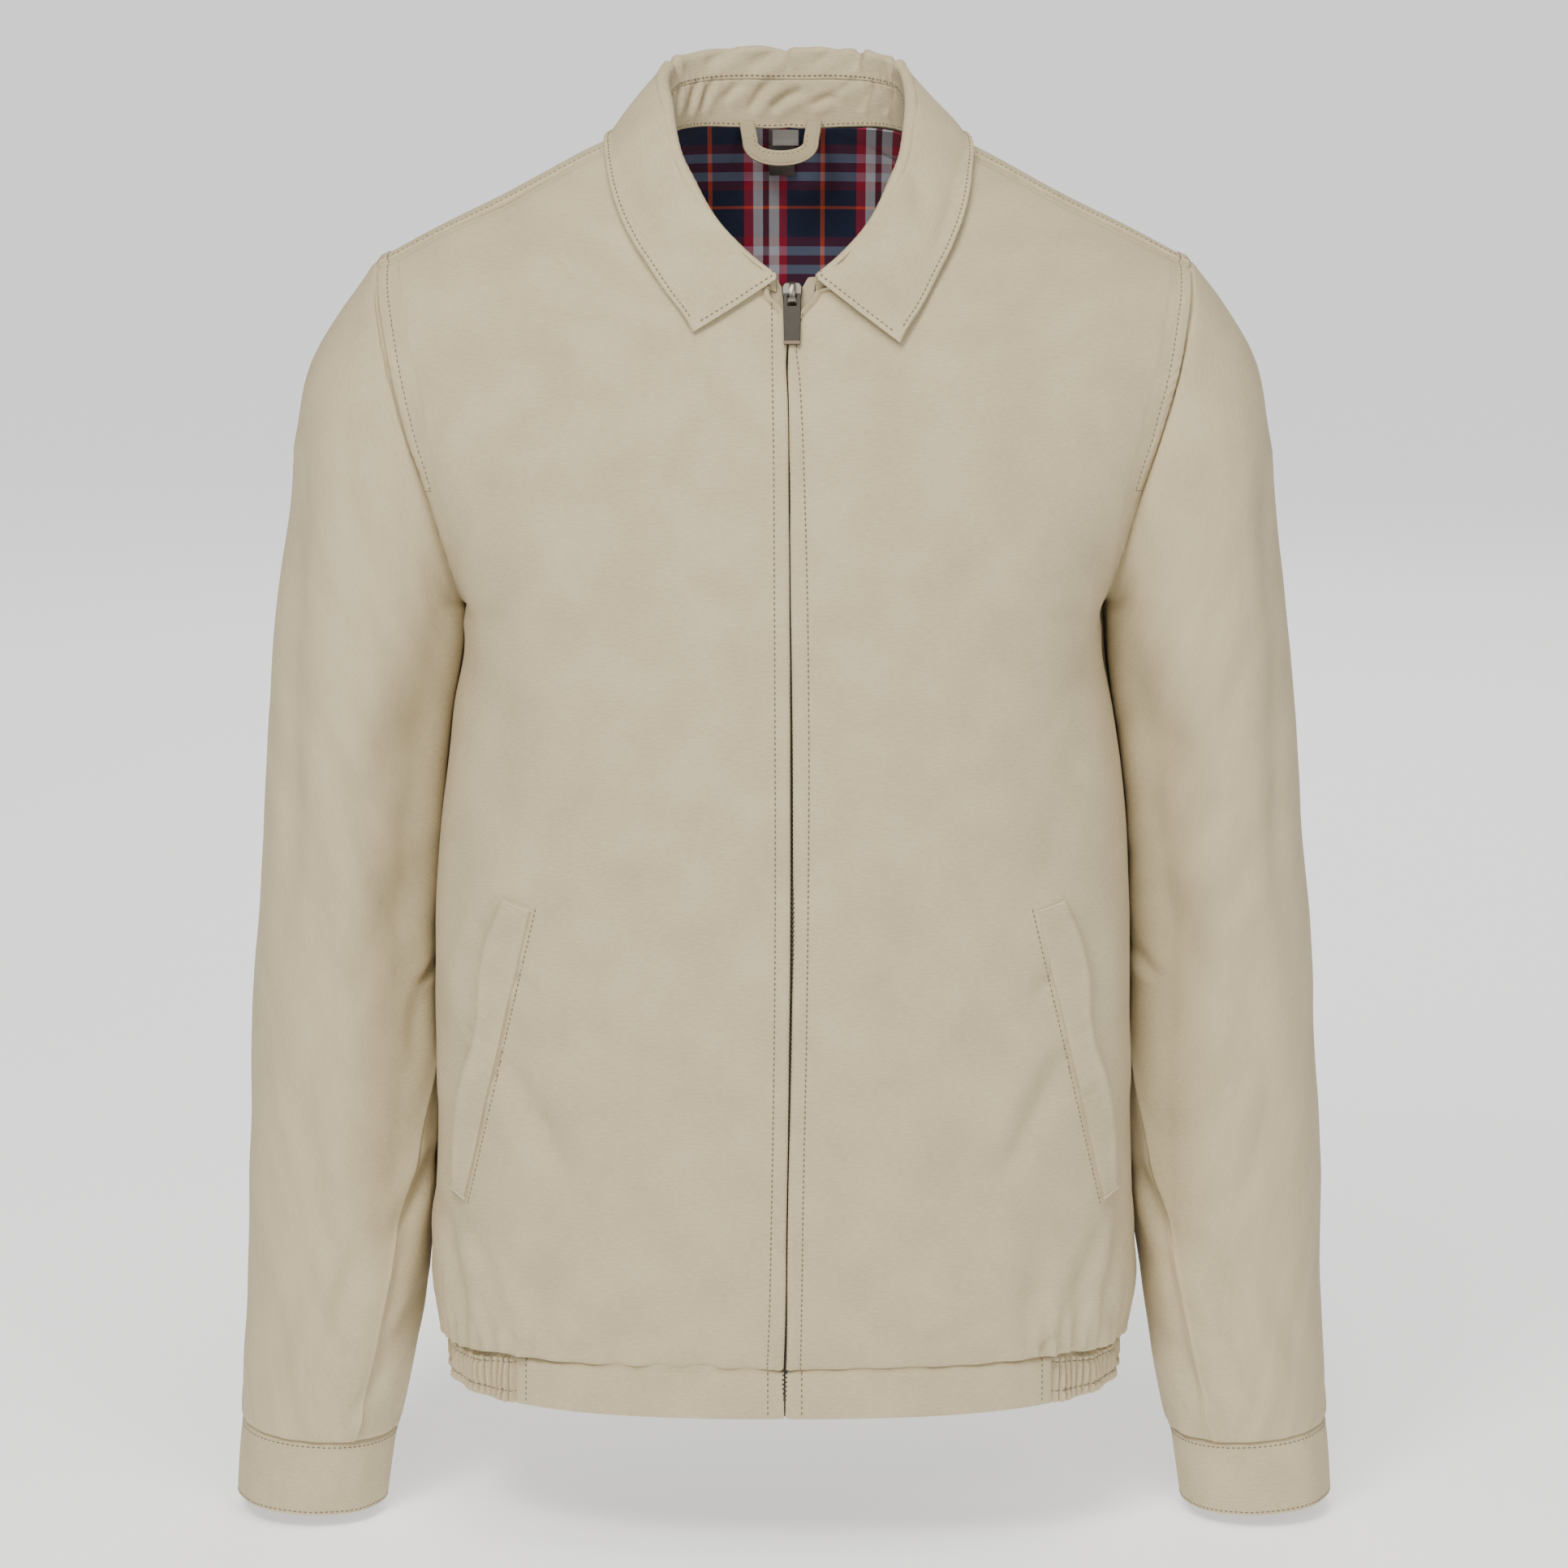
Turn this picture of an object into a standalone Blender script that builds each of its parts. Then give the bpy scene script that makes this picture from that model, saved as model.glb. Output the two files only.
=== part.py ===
"""A harrington jacket, filled out as when it is worn, hollow and with nobody in it.

Sizes are in millimetres until a mesh is made. +Z is up, the front faces -Y and the wearer's right is at -X.
The origin lies in the neck opening, where the wearer's neck and shoulders hold the jacket up.
"""

import math

import bpy
import numpy as np

MM = 0.001

# Cloth and seams
CLOTH = 1.6
LINING = 1.0
SEAM_GAP = 0.4
ARMHOLE_GAP = 0.6

# Torso: a squarish ring at every height, closed over the top by a dome that ends in the shoulder ridge
PLAN_POWER = 2.5
FRONT_DOME_POWER = 1.6
BACK_DOME_POWER = 2.2
ARMPIT_Z = -250.0
ARMHOLE_FRACTION = 0.72
ARMHOLE_POWER = 0.4
HEM_SEAM_Z = -650.0
SIDE_DROP = 5.0
SIDE_DROP_FROM = 150.0
SIDE_DROP_OVER = 30.0

# height, half width, front depth, back depth
TORSO = (
    (-656.0, 184.5, 107.8, 101.0),
    (-650.0, 186.8, 107.8, 101.0),
    (-640.0, 190.0, 110.8, 104.0),
    (-622.0, 193.2, 114.0, 107.0),
    (-600.0, 192.0, 116.5, 110.0),
    (-530.0, 189.0, 121.0, 115.0),
    (-425.0, 187.8, 125.0, 120.0),
    (-355.0, 183.5, 127.0, 123.0),
    (-309.0, 177.3, 127.0, 124.0),
    (-282.0, 173.5, 126.0, 123.5),
    (ARMPIT_Z, 171.5, 124.0, 122.0),
)
# distance from the middle, height of the shoulder ridge
RIDGE = (
    (0.0, 24.0),
    (30.0, 20.0),
    (50.0, 12.0),
    (58.0, 7.0),
    (65.0, 2.0),
    (80.0, 0.0),
    (95.0, -4.7),
    (102.0, -8.0),
    (150.0, -33.8),
    (185.0, -51.0),
    (216.0, -67.5),
    (240.0, -80.0),
)
# share of the dome's height, distance of the armhole seam from the middle
ARMHOLE = (
    (0.0, 171.5),
    (0.09, 176.0),
    (0.206, 182.3),
    (0.3, 187.4),
    (0.385, 192.3),
    (0.455, 197.0),
    (0.556, 202.3),
    (0.68, 208.0),
    (0.81, 212.4),
    (0.91, 215.3),
    (1.0, 215.7),
)
# The neckline seen from above
NECK_POWER = 2.2
NECK_HALF_WIDTH = 65.0
NECK_FRONT = 82.5
NECK_BACK = 55.0
NECK_SHIFT = 2.5
NECK_FRONT_SHIFT = 4.0
# height, where the zip runs, half the opening between the two front edges
CLOSURE = (
    (-680.0, -1.0, 0.9),
    (-650.0, 0.4, 0.9),
    (-560.0, 1.8, 0.8),
    (-430.0, 3.8, 0.8),
    (-290.0, 3.8, 0.8),
    (-175.0, 2.6, 0.8),
    (-130.0, 2.2, 0.8),
    (-113.0, 1.6, 0.9),
    (-95.0, 2.9, 1.2),
    (-86.0, 4.2, 4.2),
    (-79.0, 4.0, 10.6),
    (-74.0, 4.6, 11.8),
    (-68.0, 6.7, 10.6),
)

# Rows of the torso's panels: heights up to the armpit, then angles over the dome, 180 at the armpit and 0 at
# the shoulder ridge. The sleeve's rim uses the same angles, so both edges of the armhole seam match.
LOW_ROWS = (-650, -643, -630, -610, -578, -530, -475, -420, -365, -320, -282)
LINING_ROWS = (-643, -610, -530, -420, -365, -320, -282)
FRONT_ANGLES = (180, 162, 144, 126, 109, 92, 80, 74.9, 73.5, 71, 67, 61, 53, 43, 31, 15)
BACK_ANGLES = (180, 160, 140, 120, 100, 80, 62, 47, 33.6, 33, 31.5, 29, 25.5, 20.5, 13.5, 6)
SLEEVE_FRONT_ANGLES = (0, 15, 31, 43, 61, 80, 92, 109, 126, 144, 162, 180)
SLEEVE_BACK_ANGLES = (-160, -140, -120, -100, -80, -62, -47, -33.6, -20.5, -6)
SEAM_ANGLE = 15
SHOULDER_GAP_ANGLE = 0.35
LINING_GAP_ANGLE = 2.0
PANEL_COLUMNS = 10
DROP_ROWS = {-650: 1.0, -643: 0.7, -630: 0.3}

# Soft folds of the fronts: from x, z to x, z, half width, height outwards
FRONT_FOLDS = (
    (178, -255, 120, -420, 18, -2.2),
    (150, -560, 60, -650, 16, 1.5),
)

# Sleeve: each ring leans from its inner point to its outer one
# along, inner x, inner z, outer x, outer z, middle y, half depth
SLEEVE = (
    (12, 173.2, -254.5, 223.5, -76.5, 3, 58),
    (30, 174.2, -258.0, 238.0, -96.0, 5, 62),
    (55, 175.6, -264.0, 253.5, -124.0, 6, 66),
    (85, 177.2, -272.0, 261.8, -162.0, 8, 69),
    (120, 178.7, -284.0, 266.8, -208.0, 10, 71),
    (165, 181.2, -305.0, 272.0, -258.0, 12, 72),
    (215, 184.6, -332.0, 276.6, -306.0, 14, 72),
    (265, 187.8, -368.0, 281.3, -355.0, 17, 70.5),
    (330, 190.2, -424.0, 286.5, -418.0, 23, 68),
    (400, 191.6, -484.0, 291.3, -480.0, 25, 65),
    (470, 192.6, -552.0, 293.9, -550.0, 20, 61),
    (530, 195.7, -612.0, 296.0, -610.0, 14, 58),
    (580, 203.0, -661.0, 297.8, -659.0, 9, 55),
    (615, 209.0, -698.0, 299.4, -694.0, 6, 52),
    (628, 212.8, -713.2, 300.2, -707.4, 5, 49.5),
)
SLEEVE_POWER = 2.15
SLEEVE_ROWS = 18
# Soft folds of a sleeve: angle round it and distance along it at both ends, half width, height outwards
SLEEVE_FOLDS = (
    (62, 110, 45, 400, 16, -2.0),
    (150, 280, 70, 420, 22, -2.5),
    (150, 480, 60, 600, 20, -2.0),
    (-60, 280, -130, 420, 24, -2.5),
)

# Cuff: along, inner x, inner z, outer x, outer z, middle y, half depth
CUFF = (
    (0, 214.3, -714.0, 299.8, -708.0, 5, 47.5),
    (20, 217.4, -734.5, 301.8, -729.5, 5, 46.6),
    (39, 220.4, -754.5, 303.2, -750.5, 5, 46),
)
CUFF_COLUMNS = 24

# Hem band
BAND_HALF_WIDTH = 182.3
BAND_FRONT = 107.3
BAND_BACK = 100.5
BAND_TOP_Z = -650.5
BAND_BOTTOM_Z = -677.5
ELASTIC_FROM = 49.0
ELASTIC_TO = 131.0
ELASTIC_RIBS = 28
RIB_HEIGHT = 1.3
# share of the band's height, share of the ribs' height there
RIB_ROWS = ((0.0, 0.75), (0.45, 1.0), (1.0, 0.5))
BAND_GAP_ANGLE = 0.2
BAND_DROP_LEAD = 6.0
BAND_FRONT_COLUMNS = 10
BAND_BACK_COLUMNS = 20

# Collar, half of it, from the middle of the back to the front end
# share, turn round the neckline, roll x, y, z, outer edge x, y
COLLAR = (
    (0.000, 0.0, 0, 57, 41, 0, 65),
    (0.112, 22.3, 26, 54.5, 41, 30, 61.5),
    (0.221, 50.0, 48, 44, 38.5, 58, 47),
    (0.292, 66.3, 59, 30, 35.5, 76, 35),
    (0.354, 77.0, 62.5, 15, 31, 88, 18),
    (0.417, 90.0, 63, 0, 24, 95, 0),
    (0.496, 105.0, 62, -19, 14.5, 96.5, -14),
    (0.571, 110.0, 60, -32, 2.5, 95.7, -25),
    (0.642, 116.4, 57.3, -43, -10, 93.5, -38),
    (0.712, 127.0, 51.5, -53, -22, 89.5, -49.5),
    (0.790, 138.8, 43, -63, -36, 82.5, -61),
    (0.875, 151.2, 32, -72, -50, 72.6, -71.8),
    (0.942, 161.4, 21.5, -77.5, -60.5, 62.8, -80.5),
    (1.000, 172.3, 10.5, -81.5, -68.5, 53.0, -89.3),
)
COLLAR_CLOTH = 1.6
# how round the fold is and how far the leaf stands out, at the back and in front
COLLAR_ROLL = (2.8, 1.9)
COLLAR_BULGE = (3.6, 1.6)
COLLAR_FRONT_FROM = 0.4
COLLAR_FRONT_OVER = 0.35
# how much less the right point reaches forward, over the last share of the collar
RIGHT_POINT_BACK = 2.1
RIGHT_POINT_OVER = 0.3
# the leaf isn't shifted with the neckline behind this y
LEAF_SHIFT_FROM = -20.0
LEAF_SHIFT_OVER = 40.0
COLLAR_LIFT = 3.0
STAND_SHARE = 0.62
STAND_GAP = 0.7
STAND_RISE = 1.3
COLLAR_COLUMNS = 14
STAND_STEPS = 2
FOLD_STEPS = 4
LEAF_STEPS = 4

# Pocket welts: share of the length, edge towards the zip x and z, free edge x and z
WELT = (
    (0.0, 131.5, -399.5, 148.5, -395.0),
    (0.2, 138.5, -429.0, 160.5, -427.0),
    (0.45, 149.0, -474.0, 165.5, -472.0),
    (0.68, 157.5, -511.0, 176.0, -508.0),
    (1.0, 171.0, -569.0, 181.0, -564.0),
)
WELT_ROWS = 9
WELT_COLUMNS = 4
WELT_CLOTH = 1.6
WELT_GAP = 0.9

# Zip: a tape behind the fronts, a slider in the neck opening and its pull tab
TAPE_TOP_Z = -74.5
TAPE_BOTTOM_Z = -676.0
TAPE_HALF_WIDTH = 6.0
TAPE_INSET = 2.9
TAPE_CLOTH = 1.2
SLIDER_X = 4.2
SLIDER_Z = -77.8
SLIDER_LEAN = math.radians(-22.0)
SLIDER_HALF_WIDTHS = ((5.6, 3.6), (3.4, 5.4), (-1.5, 5.0), (-5.8, 3.9))
SLIDER_FRONT = 1.4
SLIDER_BACK = 2.0
BRIDGE_HALF_WIDTH = 1.6
BRIDGE_TOP = 5.4
BRIDGE_BOTTOM = -6.0
BRIDGE_CLEAR = 2.4
BRIDGE_WALL = 1.2
BRIDGE_ROOT = 0.8
# Side view of the bridge: (from the front of its arch, below its top or above its bottom); the inside follows
BRIDGE_LOW = ((None, 0.4), (-1.2, 0.4), (0.0, 1.6))
BRIDGE_HIGH = ((0.0, 2.0), (-1.6, 0.2), (None, 0.2))
BRIDGE_LOW_INSIDE = ((None, 1.8), (-0.6, 1.8), (0.0, 2.4))
BRIDGE_HIGH_INSIDE = ((0.0, 2.6), (-0.8, 1.6), (None, 1.6))
PIVOT_Z = -1.4
PIVOT_OUT = 1.25
PULL_HALF_WIDTHS = (4.6, 4.2)
PULL_LENGTH = 27.0
PULL_THICK = 1.3
PULL_BAR = 0.65
WINDOW_LENGTH = 5.7
WINDOW_HALF_WIDTH = 2.3

# Hanger loop and labels inside the back of the neck; deep is the distance inside the outer cloth
LINING_DEEP = 2.45
LOOP_MIDDLE_X = -1.8
LOOP_HALF_SPREAD = 18.3
LOOP_LEG = 10.5
LOOP_SAG = 9.5
LOOP_HALF_WIDTH = 3.7
LOOP_TOP_Z = 2.4
LOOP_Y = 47.0
LOOP_CLOTH = 1.2
LOOP_STEPS = 12
LOOP_BEND = 0.9
LOOP_SQUARE = 0.8
# name, x from, x to, z from, z to, deep, material
LABELS = (
    ("size_label", -6.2, 7.8, -11.4, -2.5, 5.7, "size_satin"),
    ("neck_label", -8.0, 5.8, -28.6, -2.5, 4.5, "neck_satin"),
)
LABEL_CLOTH = 0.6
LABEL_ROWS = 4

COLOURS = {
    "cloth": ((0.56, 0.50, 0.38), 0.9, 0.0),
    "lining": ((0.03, 0.04, 0.09), 0.8, 0.0),
    "zip_tape": ((0.45, 0.40, 0.31), 0.9, 0.0),
    "slider_metal": ((0.60, 0.57, 0.52), 0.3, 1.0),
    "pull_metal": ((0.16, 0.15, 0.13), 0.45, 1.0),
    "size_satin": ((0.35, 0.34, 0.32), 0.5, 0.0),
    "neck_satin": ((0.05, 0.04, 0.04), 0.6, 0.0),
}


# ---- reading the tables


def read(table, at):
    """The columns of a table, read smoothly (cubic Hermite) at the values at of its first column."""
    rows = np.asarray(table, float)
    knots, values = rows[:, 0], rows[:, 1:]
    slopes = np.gradient(values, knots, axis=0)
    at = np.clip(np.asarray(at, float), knots[0], knots[-1])
    i = np.clip(np.searchsorted(knots, at, side="right") - 1, 0, len(knots) - 2)
    step = (knots[i + 1] - knots[i])[..., None]
    t = (at - knots[i])[..., None] / step
    start = (1 + 2 * t) * (1 - t) ** 2 * values[i] + t * (1 - t) ** 2 * step * slopes[i]
    end = t**2 * (3 - 2 * t) * values[i + 1] + t**2 * (t - 1) * step * slopes[i + 1]
    return np.moveaxis(start + end, -1, 0)


def smoothstep(t):
    t = np.clip(t, 0.0, 1.0)
    return t * t * (3 - 2 * t)


def arc(share, power):
    """The other leg of a superellipse: (1 - share**power) ** (1 / power)."""
    return (1.0 - np.clip(np.abs(share), 0.0, 1.0) ** power) ** (1.0 / power)


def fold_height(folds, across, along):
    """The sum of soft folds: a ridge or trough with a round profile round each line, fading at both ends."""
    total = np.zeros(np.broadcast(across, along).shape)
    for a0, b0, a1, b1, half_width, height in folds:
        run = np.array([a1 - a0, b1 - b0], float)
        length = np.hypot(*run)
        run /= length
        forward = (across - a0) * run[0] + (along - b0) * run[1]
        sideways = (across - a0) * run[1] - (along - b0) * run[0]
        fade = np.sin(np.pi * np.clip(forward / length, 0.0, 1.0)) ** 0.7
        total = total + height * fade * np.exp(-((sideways / half_width) ** 2) * 2.0)
    return total


# ---- the torso's surface


def ridge(x):
    return read(RIDGE, np.abs(x))[0]


def dome_power(face):
    return FRONT_DOME_POWER if face < 0 else BACK_DOME_POWER


def side_reach(height, share):
    """Half width of the plan curve: the ring's below the armpit, and above it so that it meets the armhole."""
    low = read(TORSO, np.minimum(height, ARMPIT_Z))[0]
    seam = np.where(share > 0, read(ARMHOLE, share)[0], low)
    return seam / arc(ARMHOLE_FRACTION * share**ARMHOLE_POWER, PLAN_POWER)


def skin(x, z, face, out=0.0):
    """The y of the cloth at x and z, out mm outside its outer surface, in front (-1) or behind (+1)."""
    crest = ridge(x) + out
    share = np.clip((z - ARMPIT_Z) / (crest - ARMPIT_Z), 0.0, 1.0)
    depths = read(TORSO, np.minimum(z, ARMPIT_Z))
    depth = (depths[1] if face < 0 else depths[2]) + out
    across = arc(np.abs(x) / (side_reach(z, share) + out), PLAN_POWER)
    fall = arc(share, dome_power(face))
    return face * (SEAM_GAP / 2 * (1 - share) + depth * fall * across)


def torso_rows(low_rows, angles, last_angle):
    """Height and share of the dome of every row of a panel, and its weight in the side drop of the hem."""
    shares = (1 + np.cos(np.radians([*angles[:-1], last_angle]))) / 2
    heights = [*low_rows, *([ARMPIT_Z] * len(shares))]
    drops = [DROP_ROWS.get(z, 0.0) for z in low_rows] + [0.0] * len(shares)
    return np.array(heights, float), np.array([0.0] * len(low_rows) + list(shares)), np.array(drops)


def hem_drop(x):
    return SIDE_DROP * smoothstep((np.abs(x) - SIDE_DROP_FROM) / SIDE_DROP_OVER)


def neck_x(share, face):
    """Where a row of the dome meets the neckline, from the middle of the neck; 0 for a row below it."""
    depth = read(TORSO, ARMPIT_Z)[1 if face < 0 else 2]
    reach = NECK_FRONT if face < 0 else NECK_BACK
    return NECK_HALF_WIDTH * arc(depth * arc(share, dome_power(face)) / reach, NECK_POWER)


def neck_shift(y):
    return NECK_SHIFT + NECK_FRONT_SHIFT * np.clip(-y / NECK_FRONT, 0.0, 1.0) ** 2


def panel_points(side, face, rows, inner_x, columns, out, folds=()):
    """A grid of points from inner_x out to the side seam or armhole, one line for each row."""
    heights, shares, drops = rows
    heights, shares, drops = heights[:, None], shares[:, None], drops[:, None]
    fraction = ARMHOLE_FRACTION * shares**ARMHOLE_POWER
    edge = np.where(shares > 0, read(ARMHOLE, shares)[0], read(TORSO, heights - SIDE_DROP * drops)[0])
    edge = edge + out * (1 - fraction)
    u = np.linspace(0.0, 1.0, columns + 1)[None, :]
    round_share = (1 - shares) ** 2
    spread = round_share * np.sin(u * np.pi / 2) + (1 - round_share) * u
    x = inner_x[:, None] + (side * edge - inner_x[:, None]) * spread
    z = heights - drops * hem_drop(x) + shares * (ridge(x) + out - ARMPIT_Z)
    lift = fold_height(folds, np.abs(x), z) if folds else 0.0
    return np.stack([x, skin(x, z, face, out + lift), z], axis=-1)


# ---- making solids


def grid_quads(rows, columns, closed=False):
    """Index quads of a grid of points; closed joins the last column to the first."""
    i, j = np.meshgrid(np.arange(rows - 1), np.arange(columns if closed else columns - 1), indexing="ij")
    nxt = (j + 1) % columns
    quads = np.stack([i * columns + j, i * columns + nxt, (i + 1) * columns + nxt, (i + 1) * columns + j], -1)
    return quads.reshape(-1, 4)


def new_object(name, points, faces, material):
    mesh = bpy.data.meshes.new(name)
    mesh.from_pydata((np.asarray(points) * MM).tolist(), [], [tuple(int(v) for v in f) for f in faces])
    mesh.validate()
    mesh.materials.append(material)
    mesh.shade_smooth()
    mesh.set_sharp_from_angle(angle=math.radians(40))
    item = bpy.data.objects.new(name, mesh)
    bpy.context.scene.collection.objects.link(item)
    return item


def volume(points, faces):
    total = 0.0
    for face in faces:
        for b, c in zip(face[1:], face[2:]):
            total += np.dot(points[face[0]], np.cross(points[b], points[c]))
    return total


def triangles(quads, points):
    """Every quad parted along its shorter diagonal."""
    a, b, c, d = quads.T
    short = np.linalg.norm(points[a] - points[c], axis=-1) <= np.linalg.norm(points[b] - points[d], axis=-1)
    first = np.where(short, (a, b, c), (a, b, d)).T
    second = np.where(short, (a, c, d), (b, c, d)).T
    return np.concatenate([first, second])


def wall(name, outer, inner, quads, material):
    """A closed wall between two sheets of the same points: both sheets, and a strip along every open edge."""
    outer, inner = np.reshape(outer, (-1, 3)), np.reshape(inner, (-1, 3))
    used = np.unique(quads)
    place = np.full(len(outer), -1)
    place[used] = np.arange(len(used))
    sheet = triangles(place[quads], outer[used])
    points = np.concatenate([outer[used], inner[used]])
    count = len(used)
    directed = {(int(t[k]), int(t[(k + 1) % 3])) for t in sheet for k in range(3)}
    faces = [tuple(t) for t in sheet] + [tuple(t[::-1] + count) for t in sheet]
    faces += [(b, a, a + count, b + count) for a, b in sorted(directed) if (b, a) not in directed]
    if volume(points, faces) < 0:
        faces = [face[::-1] for face in faces]
    return new_object(name, points, faces, material)


def grid_wall(name, outer, inner, material, closed=False):
    rows, columns = outer.shape[:2]
    return wall(name, outer, inner, grid_quads(rows, columns, closed), material)


def unit(vectors):
    return vectors / np.linalg.norm(vectors, axis=-1, keepdims=True)


def edge_slopes(points, axis):
    """Directions along a grid: the mean of the unit steps to both neighbours."""
    steps = unit(np.diff(points, axis=axis))
    first = np.take(steps, [0], axis=axis)
    last = np.take(steps, [-1], axis=axis)
    return np.concatenate([first, steps], axis=axis) + np.concatenate([steps, last], axis=axis)


def offset_sheets(points, thickness):
    """Two sheets half a thickness to each side of a grid of points, along the grid's own normals."""
    normal = unit(np.cross(edge_slopes(points, 0), edge_slopes(points, 1)))
    return points + normal * thickness / 2, points - normal * thickness / 2


# ---- pieces


def make_front(name, side, material):
    rows = torso_rows(LOW_ROWS, FRONT_ANGLES, SEAM_ANGLE + SHOULDER_GAP_ANGLE)
    height = rows[0] + rows[1] * (ridge(0.0) - ARMPIT_Z)
    zip_x, half_gap = read(CLOSURE, height)
    neck = neck_x(rows[1], -1)
    y = skin(neck, height, -1)
    inner_x = np.where(neck > half_gap, neck_shift(y) + side * neck, zip_x + side * half_gap)
    sheets = [panel_points(side, -1, rows, inner_x, PANEL_COLUMNS, out, FRONT_FOLDS) for out in (0.0, -CLOTH)]
    return grid_wall(name, *sheets, material)


def back_halves(out, low_rows, last_angle):
    """Both halves of the back, from its middle line and neckline to the sides."""
    heights, shares, drops = torso_rows(low_rows, (*BACK_ANGLES, 0, -SEAM_ANGLE), last_angle)
    over = np.arange(len(shares)) == len(shares) - 1
    halves = []
    for side in (-1, 1):
        points = []
        for face, chosen in ((1, ~over), (-1, over)):
            rows = (heights[chosen], shares[chosen], drops[chosen])
            neck = neck_x(rows[1], face)
            inner_x = np.where(neck > 0, NECK_SHIFT, 0.0) + side * neck
            points.append(panel_points(side, face, rows, inner_x, PANEL_COLUMNS, out))
        halves.append(np.concatenate(points))
    return halves


def back_wall(name, out, thickness, low_rows, last_angle, material):
    """The back as one wall: its halves share their middle points up to the neckline and part there."""
    outer = back_halves(out, low_rows, last_angle)
    inner = back_halves(out - thickness, low_rows, last_angle)
    rows, width = outer[0].shape[:2]
    quads = grid_quads(rows, width)
    middle = (np.arange(rows * width) % width == 0) & (np.abs(outer[0].reshape(-1, 3)[:, 0]) < 0.01)
    second = np.arange(rows * width) + rows * width
    second[middle] = np.flatnonzero(middle)
    both = np.concatenate([quads, second[quads][:, ::-1]])
    return wall(name, np.concatenate(outer), np.concatenate(inner), both, material)


def ring(section, angles):
    """A closed superellipse ring; angle 0 at its outer point, a quarter turn at its front."""
    inner_x, inner_z, outer_x, outer_z, middle_y, half_depth = section
    cos, sin = np.cos(angles), np.sin(angles)
    c = np.sign(cos) * np.abs(cos) ** (2 / SLEEVE_POWER)
    s = np.sign(sin) * np.abs(sin) ** (2 / SLEEVE_POWER)
    x = (outer_x + inner_x) / 2 + (outer_x - inner_x) / 2 * c
    z = (outer_z + inner_z) / 2 + (outer_z - inner_z) / 2 * c
    return np.stack([x, middle_y - half_depth * s, z], axis=-1)


def armhole_rim(angles):
    """The armhole seam as a ring of points at the same angles, just outside the torso's edge."""
    shares = (1 + np.cos(np.radians(angles))) / 2
    x = read(ARMHOLE, shares)[0]
    z = ARMPIT_Z + shares * (ridge(x) - ARMPIT_Z)
    y = np.where(angles > 0, skin(x, z, -1), skin(x, z, 1))
    y = np.where((angles == 0) | (angles == 180), 0.0, y)
    return np.stack([x + ARMHOLE_GAP, y, z], axis=-1)


def inwards(rings, by):
    """Rings drawn in towards their own middles."""
    middle = (rings.max(axis=1, keepdims=True) + rings.min(axis=1, keepdims=True)) / 2
    spoke = rings - middle
    length = np.linalg.norm(spoke, axis=-1, keepdims=True)
    return middle + spoke * (1 - np.broadcast_to(by, length.shape) / length)


def sleeve_rings():
    """Rings from the armhole to the cuff seam, read smoothly between the sections."""
    angles = np.array(SLEEVE_FRONT_ANGLES + SLEEVE_BACK_ANGLES, float)
    knots = np.array([0.0] + [row[0] for row in SLEEVE])
    sections = np.stack([armhole_rim(angles)] + [ring(row[1:], np.radians(angles)) for row in SLEEVE])
    table = np.column_stack([knots, sections.reshape(len(knots), -1)])
    along = knots[-1] * np.linspace(0.0, 1.0, SLEEVE_ROWS + 1) ** 1.25
    rings = read(table, along).T.reshape(len(along), len(angles), 3)
    return rings, along, angles


def make_sleeve(name, side, material):
    rings, along, angles = sleeve_rings()
    lift = fold_height(SLEEVE_FOLDS, angles[None, :], along[:, None])
    outer = inwards(rings, -lift[..., None])
    inner = inwards(rings, CLOTH - lift[..., None])
    mirror = np.array([side, 1.0, 1.0])
    return grid_wall(name, outer * mirror, inner * mirror, material, closed=True)


def make_cuff(name, side, material):
    angles = np.linspace(0.0, 2 * np.pi, CUFF_COLUMNS, endpoint=False)
    rings = np.stack([ring(row[1:], angles) for row in CUFF])
    mirror = np.array([side, 1.0, 1.0])
    return grid_wall(name, rings * mirror, inwards(rings, CLOTH) * mirror, material, closed=True)


def band_points(angles, height_shares, out):
    """Points of the hem band: angle 0 at the middle of the front, a quarter turn at the side."""
    sin, cos = np.sin(angles), np.cos(angles)
    depth = np.where(cos > 0, BAND_FRONT, BAND_BACK) + out
    x = (BAND_HALF_WIDTH + out) * np.sign(sin) * np.abs(sin) ** (2 / PLAN_POWER)
    y = -depth * np.sign(cos) * np.abs(cos) ** (2 / PLAN_POWER)
    height = BAND_TOP_Z - hem_drop(np.abs(x) + BAND_DROP_LEAD) - BAND_BOTTOM_Z
    z = BAND_BOTTOM_Z + height_shares[:, None] * height
    return np.stack(np.broadcast_arrays(x, y, z), axis=-1)


def make_band(name, start, end, columns, material):
    angles = np.radians(np.linspace(start, end, columns + 1))[None, :]
    shares = np.array([0.0, 0.5, 1.0])
    return grid_wall(name, *(band_points(angles, shares, out) for out in (0.0, -CLOTH)), material)


def make_elastic(name, side, material):
    """The gathered stretch of the band: upright ribs outside a plain inside."""
    columns = 2 * ELASTIC_RIBS
    share = np.linspace(0.0, 1.0, columns + 1)[None, :]
    span = ELASTIC_TO - ELASTIC_FROM - 2 * BAND_GAP_ANGLE
    angles = side * np.radians(ELASTIC_FROM + BAND_GAP_ANGLE + share * span)
    height_shares, rib_shares = np.array(RIB_ROWS).T
    ribs = RIB_HEIGHT * rib_shares[:, None] * (np.arange(columns + 1) % 2)[None, :]
    outer = band_points(angles, height_shares, ribs)
    return grid_wall(name, outer, band_points(angles, height_shares, -CLOTH), material)


def front_band_angle(x):
    return math.degrees(math.asin((abs(x) / BAND_HALF_WIDTH) ** (PLAN_POWER / 2)))


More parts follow.
